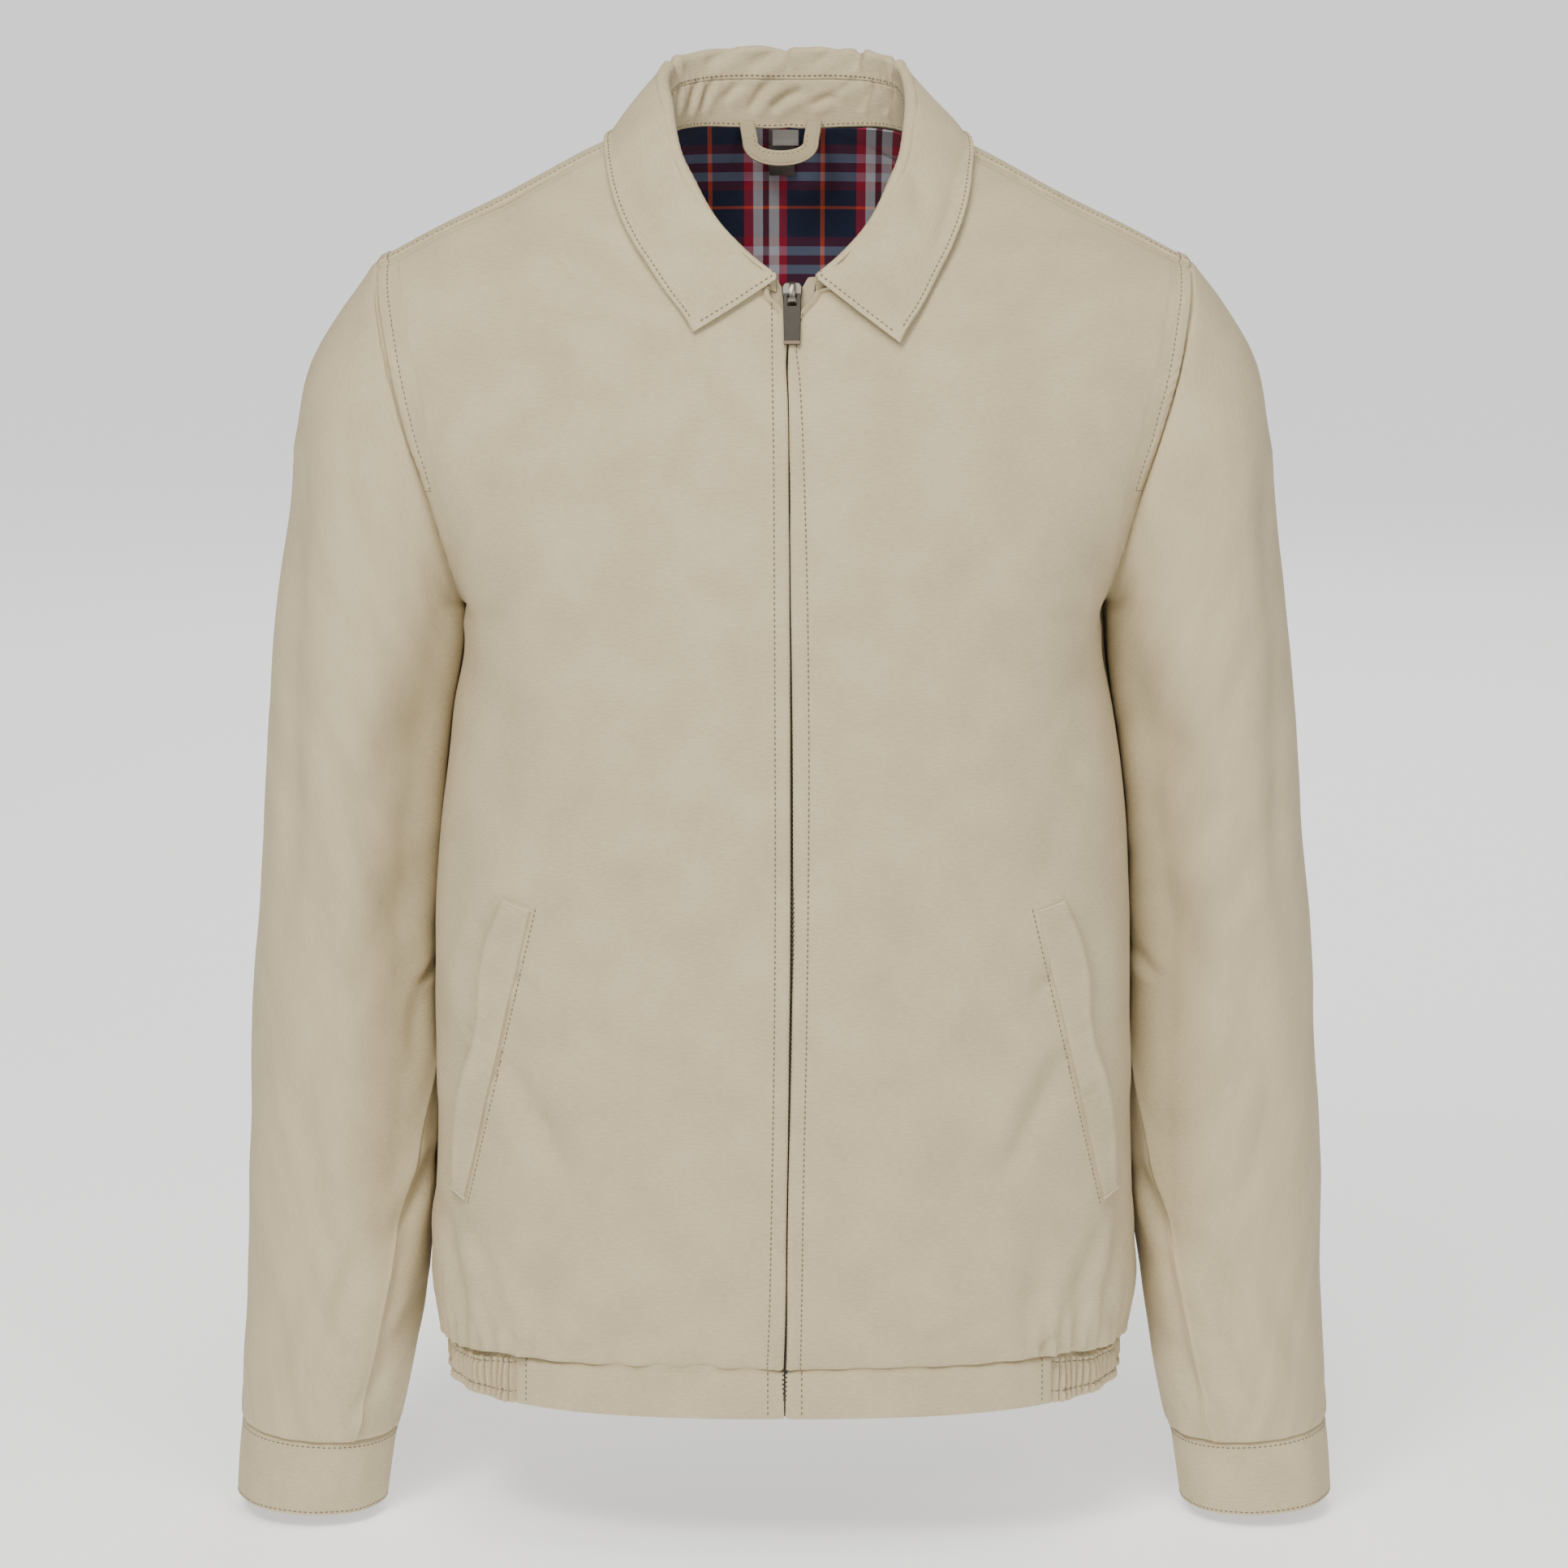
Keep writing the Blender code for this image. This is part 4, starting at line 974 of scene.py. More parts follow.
# Creases of the fronts, x with its sign: ends and middle point, half width, height outwards
FRONT_CREASES = (
    (-172, -470, -160, -478, -149, -482, 2.6, -2.75),
    (-150, -483, -134, -512, -112, -550, 8, -4.75),
    (-146, -430, -138, -440, -128, -446, 5, -2.125),
    (-112, -440, -96, -470, -70, -486, 12, -2),
    (-187, -570, -182, -590, -176, -612, 4, -2.75),
    (-163, -411, -161, -417, -158, -424, 3, -1.5),
    (-152, -402, -166, -436, -169, -470, 5, -2.5),
    (-170, -480, -179, -516, -184, -560, 5, -2.25),
    (-186, -232, -176, -243, -164, -262, 4, -2),
    (-170, -262, -150, -300, -122, -330, 12, -1.625),
    (-176, -575, -160, -600, -150, -636, 6, -2.25),
    (-150, -590, -138, -612, -132, -640, 7, -1.75),
    (-60, -642, -88, -628, -122, -622, 5, -1.375),
    (-185, -520, -178, -560, -180, -610, 6, -1.75),
    (-120, -60, -128, -100, -140, -150, 14, -1.25),
    (-60, -130, -90, -180, -100, -240, 18, -1.25),
    (-30, -480, -60, -520, -100, -600, 16, -1.125),
    (-163, -618, -160, -630, -157, -644, 2.6, -2),
    (-152, -634, -144, -640, -134, -643, 3.0, -1.75),
    (-128, -628, -124, -636, -119, -645, 2.8, -1.125),
    (-178, -600, -174, -622, -176, -642, 4.0, -2.375),
    (-50, -616, -51, -632, -49, -647, 2.2, -0.75),
    (-22, -632, -23, -640, -22, -648, 1.8, -0.625),
    (-142, -560, -130, -600, -128, -636, 9, -1.5),
    (168, -466, 158, -472, 149, -476, 2.6, -2.375),
    (150, -478, 138, -505, 116, -548, 8, -4.375),
    (146, -432, 138, -441, 127, -448, 5, -2.125),
    (116, -446, 98, -472, 74, -490, 12, -1.875),
    (152, -404, 166, -438, 169, -470, 5, -2.375),
    (170, -482, 179, -518, 184, -560, 5, -2.125),
    (187, -572, 182, -592, 177, -614, 4, -2.5),
    (187, -234, 177, -246, 166, -266, 4, -2),
    (168, -262, 148, -296, 118, -322, 12, -1.625),
    (175, -578, 162, -604, 152, -638, 6, -2.25),
    (146, -588, 136, -612, 128, -641, 7, -1.75),
    (70, -641, 96, -628, 126, -622, 5, -1.375),
    (186, -515, 180, -558, 181, -606, 6, -1.75),
    (122, -62, 131, -104, 142, -156, 14, -1.25),
    (70, -140, 96, -190, 104, -250, 18, -1.125),
    (36, -500, 64, -540, 98, -606, 16, -1.125),
    (164, -616, 160, -630, 158, -645, 2.6, -1.875),
    (150, -632, 143, -639, 136, -644, 3.0, -1.625),
    (179, -602, 175, -622, 177, -642, 4.0, -2.25),
    (60, -618, 58, -634, 60, -647, 2.2, -0.75),
    (140, -562, 132, -600, 127, -634, 9, -1.375),
)
STITCH_ZIP = 8.6
STITCH_ARMHOLE = 6.2
STITCH_SHOULDER = 1.9
GATHERED_FROM = 124.0
GATHERED_OVER = 16.0
SHOULDER_UNDER = 1.5
ARMHOLE_TACK_Z = -186.0
# groove under the stitches beside the armhole: width and depth; its puckers: height and reach
FRONT_ARMHOLE = {"width": 1.2, "depth": 0.7, "height": 0.4, "reach": 4.0}
BACK_ARMHOLE = {"width": 1.3, "depth": 0.5, "height": 0.22, "reach": 5.0}
# gathers over the elastic; ease_over is the length over which the slow waves beside them begin
FRONT_GATHERS = {"pitch": 11.0, "height": 3.5, "reach": 14.0, "ease_over": 20.0}
BACK_GATHERS = {"pitch": 9.5, "height": 2.1, "reach": 15.0, "ease_over": 10.0}
# pitch, length and thickness of a bartack's stitches
TACK_STITCH = (1.3, 1.5, 0.8)
# height, how much nearer to the zip's middle the two edges lie than in the solids
CLOSER = (
    (-680, 0.1),
    (-640, 0.2),
    (-600, 0.5),
    (-540, 0.4),
    (-470, 0.1),
    (-320, 0.1),
    (-240, 0.5),
    (-120, 0.55),
    (-95, 0.0),
)
# height, x of the stitch rows beside the zip, right and left
ZIP_ROWS = (
    (-656.0, -9.2, 8.6),
    (-624.0, -7.9, 9.2),
    (-561.0, -6.6, 10.0),
    (-456.0, -5.0, 11.9),
    (-215.0, -5.0, 11.7),
    (-173.0, -5.2, 10.5),
    (-142.0, -5.6, 9.3),
    (-119.0, -6.0, 7.9),
    (-105.0, -6.1, 6.4),
    (-95.0, -6.2, 7.8),
    (-82.0, -6.4, 11.6),
    (-60.0, -6.4, 16.0),
)


def armhole_seam(from_side, from_hem, seed, width, depth, height, reach):
    """Beside the armhole: a low step of seam allowance, a groove under the stitches, and puckers."""
    step = 0.9 * smoothstep((STITCH_ARMHOLE + 2.0 - from_side) / 2.5)
    pucker = puckers(from_hem, seed, from_side, pitch=7.0, height=height, place=4.0, reach=reach)
    return step + groove(from_side - STITCH_ARMHOLE, width, depth) + pucker


def over_elastic(x):
    """1 above the elastic lengths of the band and 0 between them."""
    return smoothstep((np.abs(x) - GATHERED_FROM) / GATHERED_OVER)


def hem_gathers(x, along, from_hem, seed, pitch, height, reach, ease_over):
    """Gathers above the elastic and slow waves beside them; both fade upwards from the band's seam."""
    gather = uneven(along, seed, pitch) * height * np.exp(-from_hem / reach) * over_elastic(x)
    ease = uneven(along, seed + EASE_SEED_STEP, 24.0) * 0.9 * np.exp(-from_hem / 24.0)
    total = gather * smoothstep(from_hem / 3.0) + ease * smoothstep(along / ease_over)
    return total * cloth_settings().gather_depth


def front_form(side):
    """A front's form, with two values for each row: its share of the dome, and whether it meets the zip."""
    rows = torso_rows(-1, SEAM_ANGLE - SHOULDER_UNDER, 3.1, ((70.0, 16.0, 0.3), (SEAM_ANGLE, 10.0, 0.5)))
    height = rows[0] + rows[1] * (ridge(0.0) - ARMPIT_Z)
    zip_x, half_gap = read(CLOSURE, height)
    heights, nearer = np.transpose(CLOSER)
    half_gap = half_gap - np.interp(height, heights, nearer)
    neck = neck_x(rows[1], -1)
    y = skin(neck, height, -1)
    inner_x = np.where(neck > half_gap, neck_shift(y) + side * neck, zip_x + side * half_gap)
    u = spaced(PANEL_WIDTH, 2.1, ((0, 5, 0.35), (STITCH_ZIP, 4, 0.5), (PANEL_WIDTH, 10, 0.4))) / PANEL_WIDTH
    return panel_points(side, -1, rows, inner_x, u, 0.0, FRONT_FOLDS), rows[1], neck <= half_gap


def zip_edge(z, from_zip, from_hem, past_row, at_zip, seed):
    """The edge beside the zip: folded double out to its stitches, puckered, and a thick rim at the slider."""
    double = 0.5 * smoothstep((2.0 - past_row) / 3.0)
    pucker = puckers(from_hem + from_zip * 0.9, seed, from_zip, pitch=7.5, height=1.0, place=4.4, reach=2.8)
    pucker *= 0.16 + 0.8 * smoothstep((-420.0 - z) / 140.0)
    lift = np.where(at_zip[:, None], double + groove(past_row, 1.2, 0.6) + pucker, 0.0)
    at_slider = smoothstep((z + 92.0) / 5.0) * smoothstep((-64.0 - z) / 4.0)
    lift += at_slider * (2.3 * bell(from_zip - 1.7, 1.5) + groove(from_zip - 4.2, 1.2, 1.3))
    return lift - rolled(from_zip, 1.4) * 0.8


def sew_front(side, word, outer, normal, past_row, from_side, at_zip, upper):
    """Stitches beside the zip, beside the armhole down to its tack, and beside the pocket."""
    shown = at_zip & (past_row[:, 0] < -1.5)
    rows = [stitches(*inset(outer[shown], normal[shown], past_row[shown], 0.0))]
    flip = [value[upper][:, ::-1] for value in (outer, normal, from_side)]
    rows.append(stitches(*inset(*flip, STITCH_ARMHOLE)))
    k = int(np.argmax(upper))
    tack = (from_side[k] < STITCH_ARMHOLE + 1.0) & (from_side[k] > 0.6)
    rows.append(stitches(outer[k, tack], normal[k, tack], *TACK_STITCH))
    in_x, in_z = read(WELT, np.linspace(0.0, 1.0, 90))[:2]
    beside_welt = np.stack([side * (in_x - 1.0), in_z], -1)
    rows.append(stitches(*on_grid(outer, normal, beside_welt)))
    return sew(f"front_{word}_stitching", rows, thread())


def make_front(side, word):
    """A front: the torso's form, creases and swells, seams along its edges and gathers over the elastic."""
    base, shares, at_zip = front_form(side)
    normal = normals(base, away_from=TORSO_MIDDLE)
    x, z = base[..., 0], base[..., 2]
    from_zip, from_hem = run_length(base, 1), run_length(base, 0)
    from_side, from_top = from_zip[:, -1:] - from_zip, from_hem[-1:] - from_hem
    past_row = side * (x - read(ZIP_ROWS, z)[0 if side < 0 else 1])
    lift = creases(x, z, FRONT_CREASES)
    lift += swell(base, SEEDS["front_swell"] + side, 120.0, 1.1)
    lift += swell(base, SEEDS["front_small_swell"] + side, 45.0, 0.3)
    lift += zip_edge(z, from_zip, from_hem, past_row, at_zip, SEEDS["zip_puckers"] + side)
    stitched = smoothstep((base[:, -1:, 2] + 192.0) / 8.0) * (shares > 0.001)[:, None]
    lift += armhole_seam(from_side, from_hem, SEEDS["front_armhole"] + side, **FRONT_ARMHOLE) * stitched
    lift -= rolled(from_side, 1.5) * 0.8
    # shoulder: tucked under the folded edge of the back
    lift -= 1.3 * smoothstep((7.0 - from_top) / 3.5)
    # hem: gathers over the elastic, and the fold into the band's seam
    lift += hem_gathers(x, from_zip, from_hem, SEEDS["front_gathers"] + side, **FRONT_GATHERS)
    gathered = over_elastic(x)
    lift += 1.2 * gathered * np.exp(-from_hem / 9.0) - rolled(from_hem, 4.0) * (0.3 + 0.4 * gathered)
    outer = base + normal * lift[..., None]
    uv = np.stack([side * from_zip, from_hem], -1)
    item = grid_wall(f"front_{word}_cloth", outer, outer - normal * CLOTH, cotton(), uv=uv)
    upper = base[:, -1, 2] > ARMHOLE_TACK_Z
    sewn = sew_front(side, word, outer, normal, past_row, from_side, at_zip, upper)
    declare(f"front_{word}", with_pieces=[sewn])


# Creases of the back, x with its sign
BACK_CREASES = (
    (-165, -250, -130, -300, -70, -330, 11, -1.9),
    (165, -246, 126, -302, 74, -340, 12, -2.0),
    (-150, -330, -118, -372, -84, -392, 12, -1.5),
    (152, -336, 120, -380, 92, -410, 12, -1.4),
    (-128, -520, -70, -566, -22, -582, 14, -1.8),
    (120, -500, 76, -562, 30, -596, 12, -1.7),
    (-70, -92, -20, -106, 46, -101, 9, -1.3),
    (-150, -580, -138, -612, -130, -640, 8, -1.6),
    (150, -584, 138, -610, 132, -640, 8, -1.6),
    (-120, -60, -140, -110, -152, -160, 12, -1.3),
    (122, -60, 144, -112, 154, -170, 12, -1.3),
    (-20, -200, -26, -300, -12, -420, 18, -1.0),
)


def half_back(side, behind, over_angles, u, out):
    """Half of the back's form, up behind and over the shoulder, with its rows' shares of the dome."""
    over = (1 + np.cos(np.radians(over_angles))) / 2
    in_front = (np.full(len(over), ARMPIT_Z), over, np.zeros(len(over)))
    points = []
    for face, rows in ((1, behind), (-1, in_front)):
        neck = neck_x(rows[1], face)
        inner_x = np.where(neck > 0, NECK_SHIFT, 0.0) + side * neck
        points.append(panel_points(side, face, rows, inner_x, u, out))
    return np.concatenate(points), np.concatenate([behind[1], over])


def join_halves(name, halves, turns, cuts, thick, material):
    """One wall of two halves, which share their middle points up to the neckline."""
    rows, width = halves[0].shape[:2]
    quads = grid_quads(rows, width)
    near = np.abs(halves[0].reshape(-1, 3)[:, 0]) < 0.01
    middle = (np.arange(rows * width) % width == 0) & near
    second = np.arange(rows * width) + rows * width
    second[middle] = np.flatnonzero(middle)
    both = np.concatenate([quads, second[quads][:, ::-1]])
    outer, normal = np.concatenate(halves), np.concatenate(turns)
    return wall(name, outer, outer - normal * thick, both, material, uv=np.concatenate(cuts))


def back_heights(side, base, from_middle, from_hem, from_side, from_top, armhole):
    """Heights of half the back: creases, the seams of armhole and shoulder, and gathers over the elastic."""
    x, z = base[..., 0], base[..., 2]
    lift = creases(x, z, BACK_CREASES) + swell(base, SEEDS["back_swell"], 120.0, 0.8)
    lift *= smoothstep(base[..., 1] / 20.0)
    seam = armhole_seam(from_side, from_hem, SEEDS["back_armhole"] + side, **BACK_ARMHOLE)
    lift += np.where(armhole[:, None], seam, 0.0) - rolled(from_side, 1.5) * 0.8
    # the shoulder edge is folded under and stitched through: a rope-like edge with small puckers
    seed = SEEDS["shoulder_puckers"] + side
    lift += puckers(from_middle, seed, from_top, pitch=5.5, height=0.25, place=2.0, reach=3.5)
    lift += 0.9 * smoothstep((7.0 - from_top) / 3.0) - rolled(from_top, 1.5) * 0.9
    lift += hem_gathers(x, from_middle, from_hem, SEEDS["back_gathers"] + side, **BACK_GATHERS)
    return lift - rolled(from_hem, 3.0) * 0.7


def make_back():
    """The back: two halves joined in the middle, carried over the shoulder to its seam."""
    over_angles = np.array([-4.0, -7.5, -10.0, -12.0, -13.4, -SEAM_ANGLE + SHOULDER_GAP_ANGLE])
    behind = torso_rows(1, 0.0, 4.2, ((33.0, 16.0, 0.35), (2.0, 12.0, 0.6)))
    u = spaced(PANEL_WIDTH, 3.0, ((0, 10, 0.8), (PANEL_WIDTH, 12, 0.4))) / PANEL_WIDTH
    halves, turns, cuts, seams = [], [], [], []
    for side in (-1, 1):
        base, shares = half_back(side, behind, over_angles, u, 0.0)
        normal = normals(base, away_from=TORSO_MIDDLE)
        from_middle, from_hem = run_length(base, 1), run_length(base, 0)
        from_side, from_top = from_middle[:, -1:] - from_middle, from_hem[-1:] - from_hem
        armhole = shares > 0.001
        lift = back_heights(side, base, from_middle, from_hem, from_side, from_top, armhole)
        outer = base + normal * lift[..., None]
        flip = [value[armhole][:, ::-1] for value in (outer, normal, from_side)]
        seams.append(stitches(*inset(*flip, STITCH_ARMHOLE)))
        turned = [np.swapaxes(value, 0, 1)[:, ::-1] for value in (outer, normal, from_top)]
        seams.append(stitches(*inset(*turned, STITCH_SHOULDER)))
        halves.append(outer)
        turns.append(normal)
        cuts.append(np.stack([side * from_middle, from_hem], -1))
    item = join_halves("back_cloth", halves, turns, cuts, CLOTH, cotton())
    sewn = sew("back_stitching", seams, thread())
    declare("back", with_pieces=[sewn])


SLEEVE_UNDER = 3.0
SLEEVE_TUCK = 1.7
BESIDE_GAP = 0.7
SLEEVE_BACK = 13.0
# behind, the other sleeve's creases come again, mirrored: further down and out, and weaker
BEHIND_DOWN = 12.0
BEHIND_OUT = 6.0
BEHIND_SHARE = 0.72

# Creases of the sleeves, x with its sign: ends and middle point, half width, height outwards
SLEEVE_CREASES = (
    (-256, -140, -261, -275, -264, -410, 6, -2.75),
    (-246, -420, -262, -520, -268, -600, 9, -1.625),
    (-236, -150, -222, -195, -204, -240, 17, -3.25),
    (-264, -170, -246, -210, -214, -262, 26, -4.25),
    (-196, -300, -214, -330, -232, -382, 12, -1.5),
    (-188, -448, -192, -455, -197, -462, 2.6, -3),
    (-197, -462, -201, -482, -200, -506, 4, -2.5),
    (-244, -342, -214, -360, -190, -392, 9, -2.5),
    (-226, -396, -206, -418, -192, -440, 9, -1.625),
    (-214, -500, -240, -512, -268, -494, 10, -1.125),
    (-187, -554, -198, -573, -210, -600, 4.5, -3),
    (-199, -628, -204, -642, -211, -656, 3.4, -2.5),
    (-262, -505, -252, -552, -236, -600, 7, -2.5),
    (-232, -590, -242, -640, -262, -690, 7, -2.75),
    (-258, -600, -268, -640, -288, -684, 8, -2.25),
    (-210, -650, -222, -676, -238, -698, 5, -2.25),
    (257, -142, 263, -280, 266, -420, 6, -2.625),
    (250, -430, 266, -528, 270, -606, 9, -1.5),
    (238, -152, 222, -198, 205, -244, 17, -3.125),
    (266, -172, 248, -214, 216, -266, 26, -4),
    (196, -306, 216, -338, 236, -392, 12, -1.5),
    (190, -440, 196, -450, 204, -457, 3.2, -2.75),
    (246, -348, 218, -366, 192, -398, 9, -2.375),
    (228, -400, 208, -422, 194, -446, 9, -1.5),
    (216, -496, 242, -508, 270, -490, 10, -1.125),
    (190, -560, 200, -580, 214, -606, 5, -2.75),
    (266, -512, 254, -560, 240, -606, 7, -2.375),
    (234, -596, 246, -644, 266, -692, 7, -2.625),
    (262, -604, 272, -642, 290, -680, 8, -2.125),
    (212, -652, 224, -678, 242, -700, 5, -2.25),
)


def dense_rings(angles, along):
    """Rings from under the body's edge to the cuff seam, read smoothly between the sections."""
    knots = np.array([0.0] + [row[0] for row in SLEEVE])
    sections = np.stack([armhole_rim(angles)] + [ring(row[1:], np.radians(angles)) for row in SLEEVE])
    table = np.column_stack([knots, sections.reshape(len(knots), -1)])
    rings = read(table, along).T.reshape(len(along), len(angles), 3)
    return np.concatenate([armhole_rim(angles, SLEEVE_UNDER)[None], rings])


def lay_beside(rings, turn):
    """Turns the inner side of a sleeve's rings back and lays it against the body, from the armpit down."""
    x, y, z = np.moveaxis(rings, -1, 0)
    inner = smoothstep(-np.cos(np.radians(turn))) * smoothstep((z + 630.0) / 70.0)
    y += SLEEVE_BACK * inner * smoothstep((50.0 - y) / 60.0) * smoothstep((-262.0 - z) / 60.0)
    inner *= smoothstep((-247.0 - z) / 8.0)
    half_width, deep_front, deep_back = read(TORSO, z)
    beside = half_width * arc(y / np.where(y < 0, deep_front, deep_back), PLAN_POWER) + BESIDE_GAP
    near = inner * smoothstep((60.0 - np.abs(y - 20.0)) / 30.0)
    x += np.minimum(beside - x, 0.0) * near * smoothstep((22.0 - x + beside) / 16.0)


def sleeve_form(side):
    """A sleeve's rings and normals on columns that follow its front seam, and the columns' even angles."""
    total = SLEEVE[-1][0]
    along = spaced(total, 2.9, ((0, 10, 0.4), (total, 14, 0.5)))
    fine_angles = np.arange(-180.0, 180.0, 1.0)
    rings = dense_rings(fine_angles, along)
    along = np.concatenate([[-SLEEVE_UNDER], along])
    columns = spaced(360.0, 3.1, ((0, 6, 0.35), (360, 6, 0.35)))[:-1] - 180.0
    seam = read(SLEEVE_SEAM, along)[0][:, None]
    angles = np.where(columns > 0, columns * seam / 180.0, columns * (360.0 - seam) / 180.0)
    turn = (angles + 180.0) % 360.0 - 180.0
    wrapped = np.concatenate([rings, rings[:, :1]], axis=1)
    grid = np.append(fine_angles, 180.0)
    base = np.stack([[np.interp(t, grid, r[:, k]) for t, r in zip(turn, wrapped)] for k in range(3)], -1)
    lay_beside(base, turn)
    centre = middles(base)
    base = base + unit(base - centre) * fold_height(SLEEVE_FOLDS, turn, along[:, None])[..., None]
    return *on_side(side, base, normals(base, closed=True, away_from=centre)), columns


def make_sleeve(side, word):
    """A sleeve: creases in front and behind, a seam down its front, eased at the cap and over the cuff."""
    base, normal, columns = sleeve_form(side)
    x, z = base[..., 0], base[..., 2]
    front = smoothstep(-normal[..., 1] * 2.0 + 0.4)
    behind = smoothstep(normal[..., 1] * 2.0 + 0.4)
    lift = creases(x, z, SLEEVE_CREASES) * front
    lift += creases(-x + side * BEHIND_OUT, z + BEHIND_DOWN, SLEEVE_CREASES) * behind * BEHIND_SHARE
    lift += swell(base, SEEDS["sleeve_swell"] + side, 90.0, 1.3)
    lift += swell(base, SEEDS["sleeve_small_swell"] + side, 40.0, 0.3)
    top, round_it = run_length(base, 0) - SLEEVE_UNDER, run_length(base, 1)
    low = top[-1:] - top
    lift *= smoothstep(top / 25.0 + 0.1) * smoothstep(low / 12.0 + 0.2)
    # the cap: eased in with small puckers, and tucked under the body's edge
    cap = puckers(round_it, SEEDS["sleeve_cap"] + side, top, pitch=6.5, height=0.35, place=5.0, reach=5.0)
    lift += cap * smoothstep(top / 3.0)
    lift -= SLEEVE_TUCK * smoothstep(1 - (top + 0.5) / 4.5)
    # over the cuff: gathered a little and folded in
    lift += puckers(round_it, SEEDS["sleeve_end"] + side, low, pitch=17.0, height=0.9, place=8.0, reach=10.0)
    lift -= rolled(low, 4.0) * 0.6
    # the long seam: a groove with its allowance to one side and a hollow on the other
    far = np.minimum(columns + 180.0, 180.0 - columns) * 1.05
    hollow = 1.4 * bell(far - 5.5, 4.5) * smoothstep((-440.0 - z) / 40.0)
    lift += groove(far, 1.0, 0.5) + np.where(columns > 0, 0.8 * bell(far - 1.2, 2.2), -hollow)
    outer = base + normal * lift[..., None]
    uv = np.stack([side * (round_it - round_it[:, -1:] / 2), -top], -1)
    item = grid_wall(f"sleeve_{word}_cloth", outer, outer - normal * CLOTH, cotton(), closed=True, uv=uv)
    declare(f"sleeve_{word}")


CUFF_STITCH = 2.6
CUFF_PUCKER_REACH = math.sqrt(8.0)


def make_cuff(side, word):
    """A plain sewn cuff: a tube with a stitched top and bottom edge and soft upright creases."""
    height = CUFF[-1][0]
    along = np.concatenate([[-3.0, -1.6], spaced(height, 2.0, ((0, 2.5, 0.4), (height, 2.5, 0.4)))])
    angles = np.linspace(0.0, 2 * np.pi, 170, endpoint=False)
    base = np.stack([ring(section, angles) for section in read(CUFF, along).T])
    base[..., 2] -= np.minimum(along, 0.0)[:, None]
    base, normal = on_side(side, base, normals(base, closed=True, away_from=middles(base)))
    s = run_length(base, 1)
    top = along[:, None] * np.ones_like(s)
    low = height - top
    lift = uneven(s, SEEDS["cuff_creases"] + side, 31.0) * 0.5
    lift *= smoothstep(top / 10) * smoothstep(low / 6 + 0.3)
    at_edges = bell(top - 3, CUFF_PUCKER_REACH) + bell(low - 3, CUFF_PUCKER_REACH)
    lift += uneven(s, SEEDS["cuff_puckers"] + side, 7.0) * 0.15 * at_edges
    lift += groove(top - CUFF_STITCH, 1.0, 0.3) + groove(low - CUFF_STITCH, 1.0, 0.35) - rolled(low, 1.3)
    lift -= 2.0 * smoothstep((0.8 - top) / 2.2)
    outer = base + normal * lift[..., None]
    uv = np.stack([side * s, -top], -1)
    item = grid_wall(f"cuff_{word}_cloth", outer, outer - normal * CLOTH, cotton(), closed=True, uv=uv)
    rows = []
    for place in (CUFF_STITCH, height - CUFF_STITCH):
        k = int(np.argmin(np.abs(along - place)))
        rows.append(stitches(outer[k], normal[k], closed=True))
    sewn = sew(f"cuff_{word}_stitching", rows, thread())
    declare(f"cuff_{word}", with_pieces=[sewn])


BAND_UNDER = 2.6
ELASTIC_UNDER_ANGLE = 0.6
# heights of the stitch rows on the elastic, as shares of the band's height
ELASTIC_ROWS = (0.27, 0.84)
RIB_PITCH = 4.6
RIB_HEIGHT = 5.4
RIB_DEEP = 2.3
BAND_TUCK = 2.0


def under_seam(up):
    """1 where the band lies under the body's edge and 0 below it."""
    return smoothstep((up - 25.0) / 2.5)


def elastic_ribs(s, t, seed):
    """Ribs of uneven pitch that lean a little and split: round backs with sharp valleys between."""
    chance = np.random.default_rng(seed)
    wander = sum(0.45 * np.sin(s / k + chance.uniform(0, ABOUT_A_TURN)) for k in (7.0, 11.0, 19.0))
    lean = 0.5 * np.sin(s / 9.0 + chance.uniform(0, ABOUT_A_TURN)) * t
    rib = np.abs(np.sin(np.pi * s / RIB_PITCH + wander + lean)) ** 0.7
    return RIB_HEIGHT * rib * (0.8 + 0.2 * np.sin(s / 4.3 + 2.0 * t)) - RIB_DEEP


def make_elastic(side, word):
    """The gathered elastic: uneven upright ribs, pinched where two rows of stitches cross them."""
    span = ELASTIC_TO - ELASTIC_FROM + 2 * ELASTIC_UNDER_ANGLE
    turn = ELASTIC_FROM - ELASTIC_UNDER_ANGLE + np.linspace(0.0, 1.0, 561) * span
    heights = spaced(BAND_HEIGHT + BAND_UNDER, 1.35) / BAND_HEIGHT
    base = band_points(side * np.radians(turn)[None, :], heights)
    normal = normals(base, away_from=BAND_MIDDLE)
    s, t = run_length(base, 1), heights[:, None]
    up = t * BAND_HEIGHT
    from_end = np.minimum(s, s[:, -1:] - s)
    pinch = sum(bell(t - place, 0.05) for place in ELASTIC_ROWS)
    under = under_seam(up)
    lift = elastic_ribs(s, t, SEEDS["elastic_ribs"] + side) * smoothstep((from_end - 1.0) / 5.0)
    lift *= (1 - 0.55 * np.clip(pinch, 0, 1)) * (1 - under) * cloth_settings().rib_depth
    lift -= rolled(up, 1.6) + BAND_TUCK * under + 1.8 * smoothstep((3.4 - from_end) / 2.0)
    outer = base + normal * lift[..., None]
    inner = base - normal * (CLOTH + 2.0)
    item = grid_wall(f"elastic_{word}_cloth", outer, inner, cotton(), uv=np.stack([s, up + 0 * s], -1))
    seams = []
    for place in ELASTIC_ROWS:
        k = int(np.argmin(np.abs(heights - place)))
        seams.append(stitches(outer[k] + normal[k] * 0.25, normal[k], 2.6, 2.0, 0.7))
    sewn = sew(f"elastic_{word}_stitching", seams, thread())
    declare(f"hem_elastic_{word}", with_pieces=[sewn])


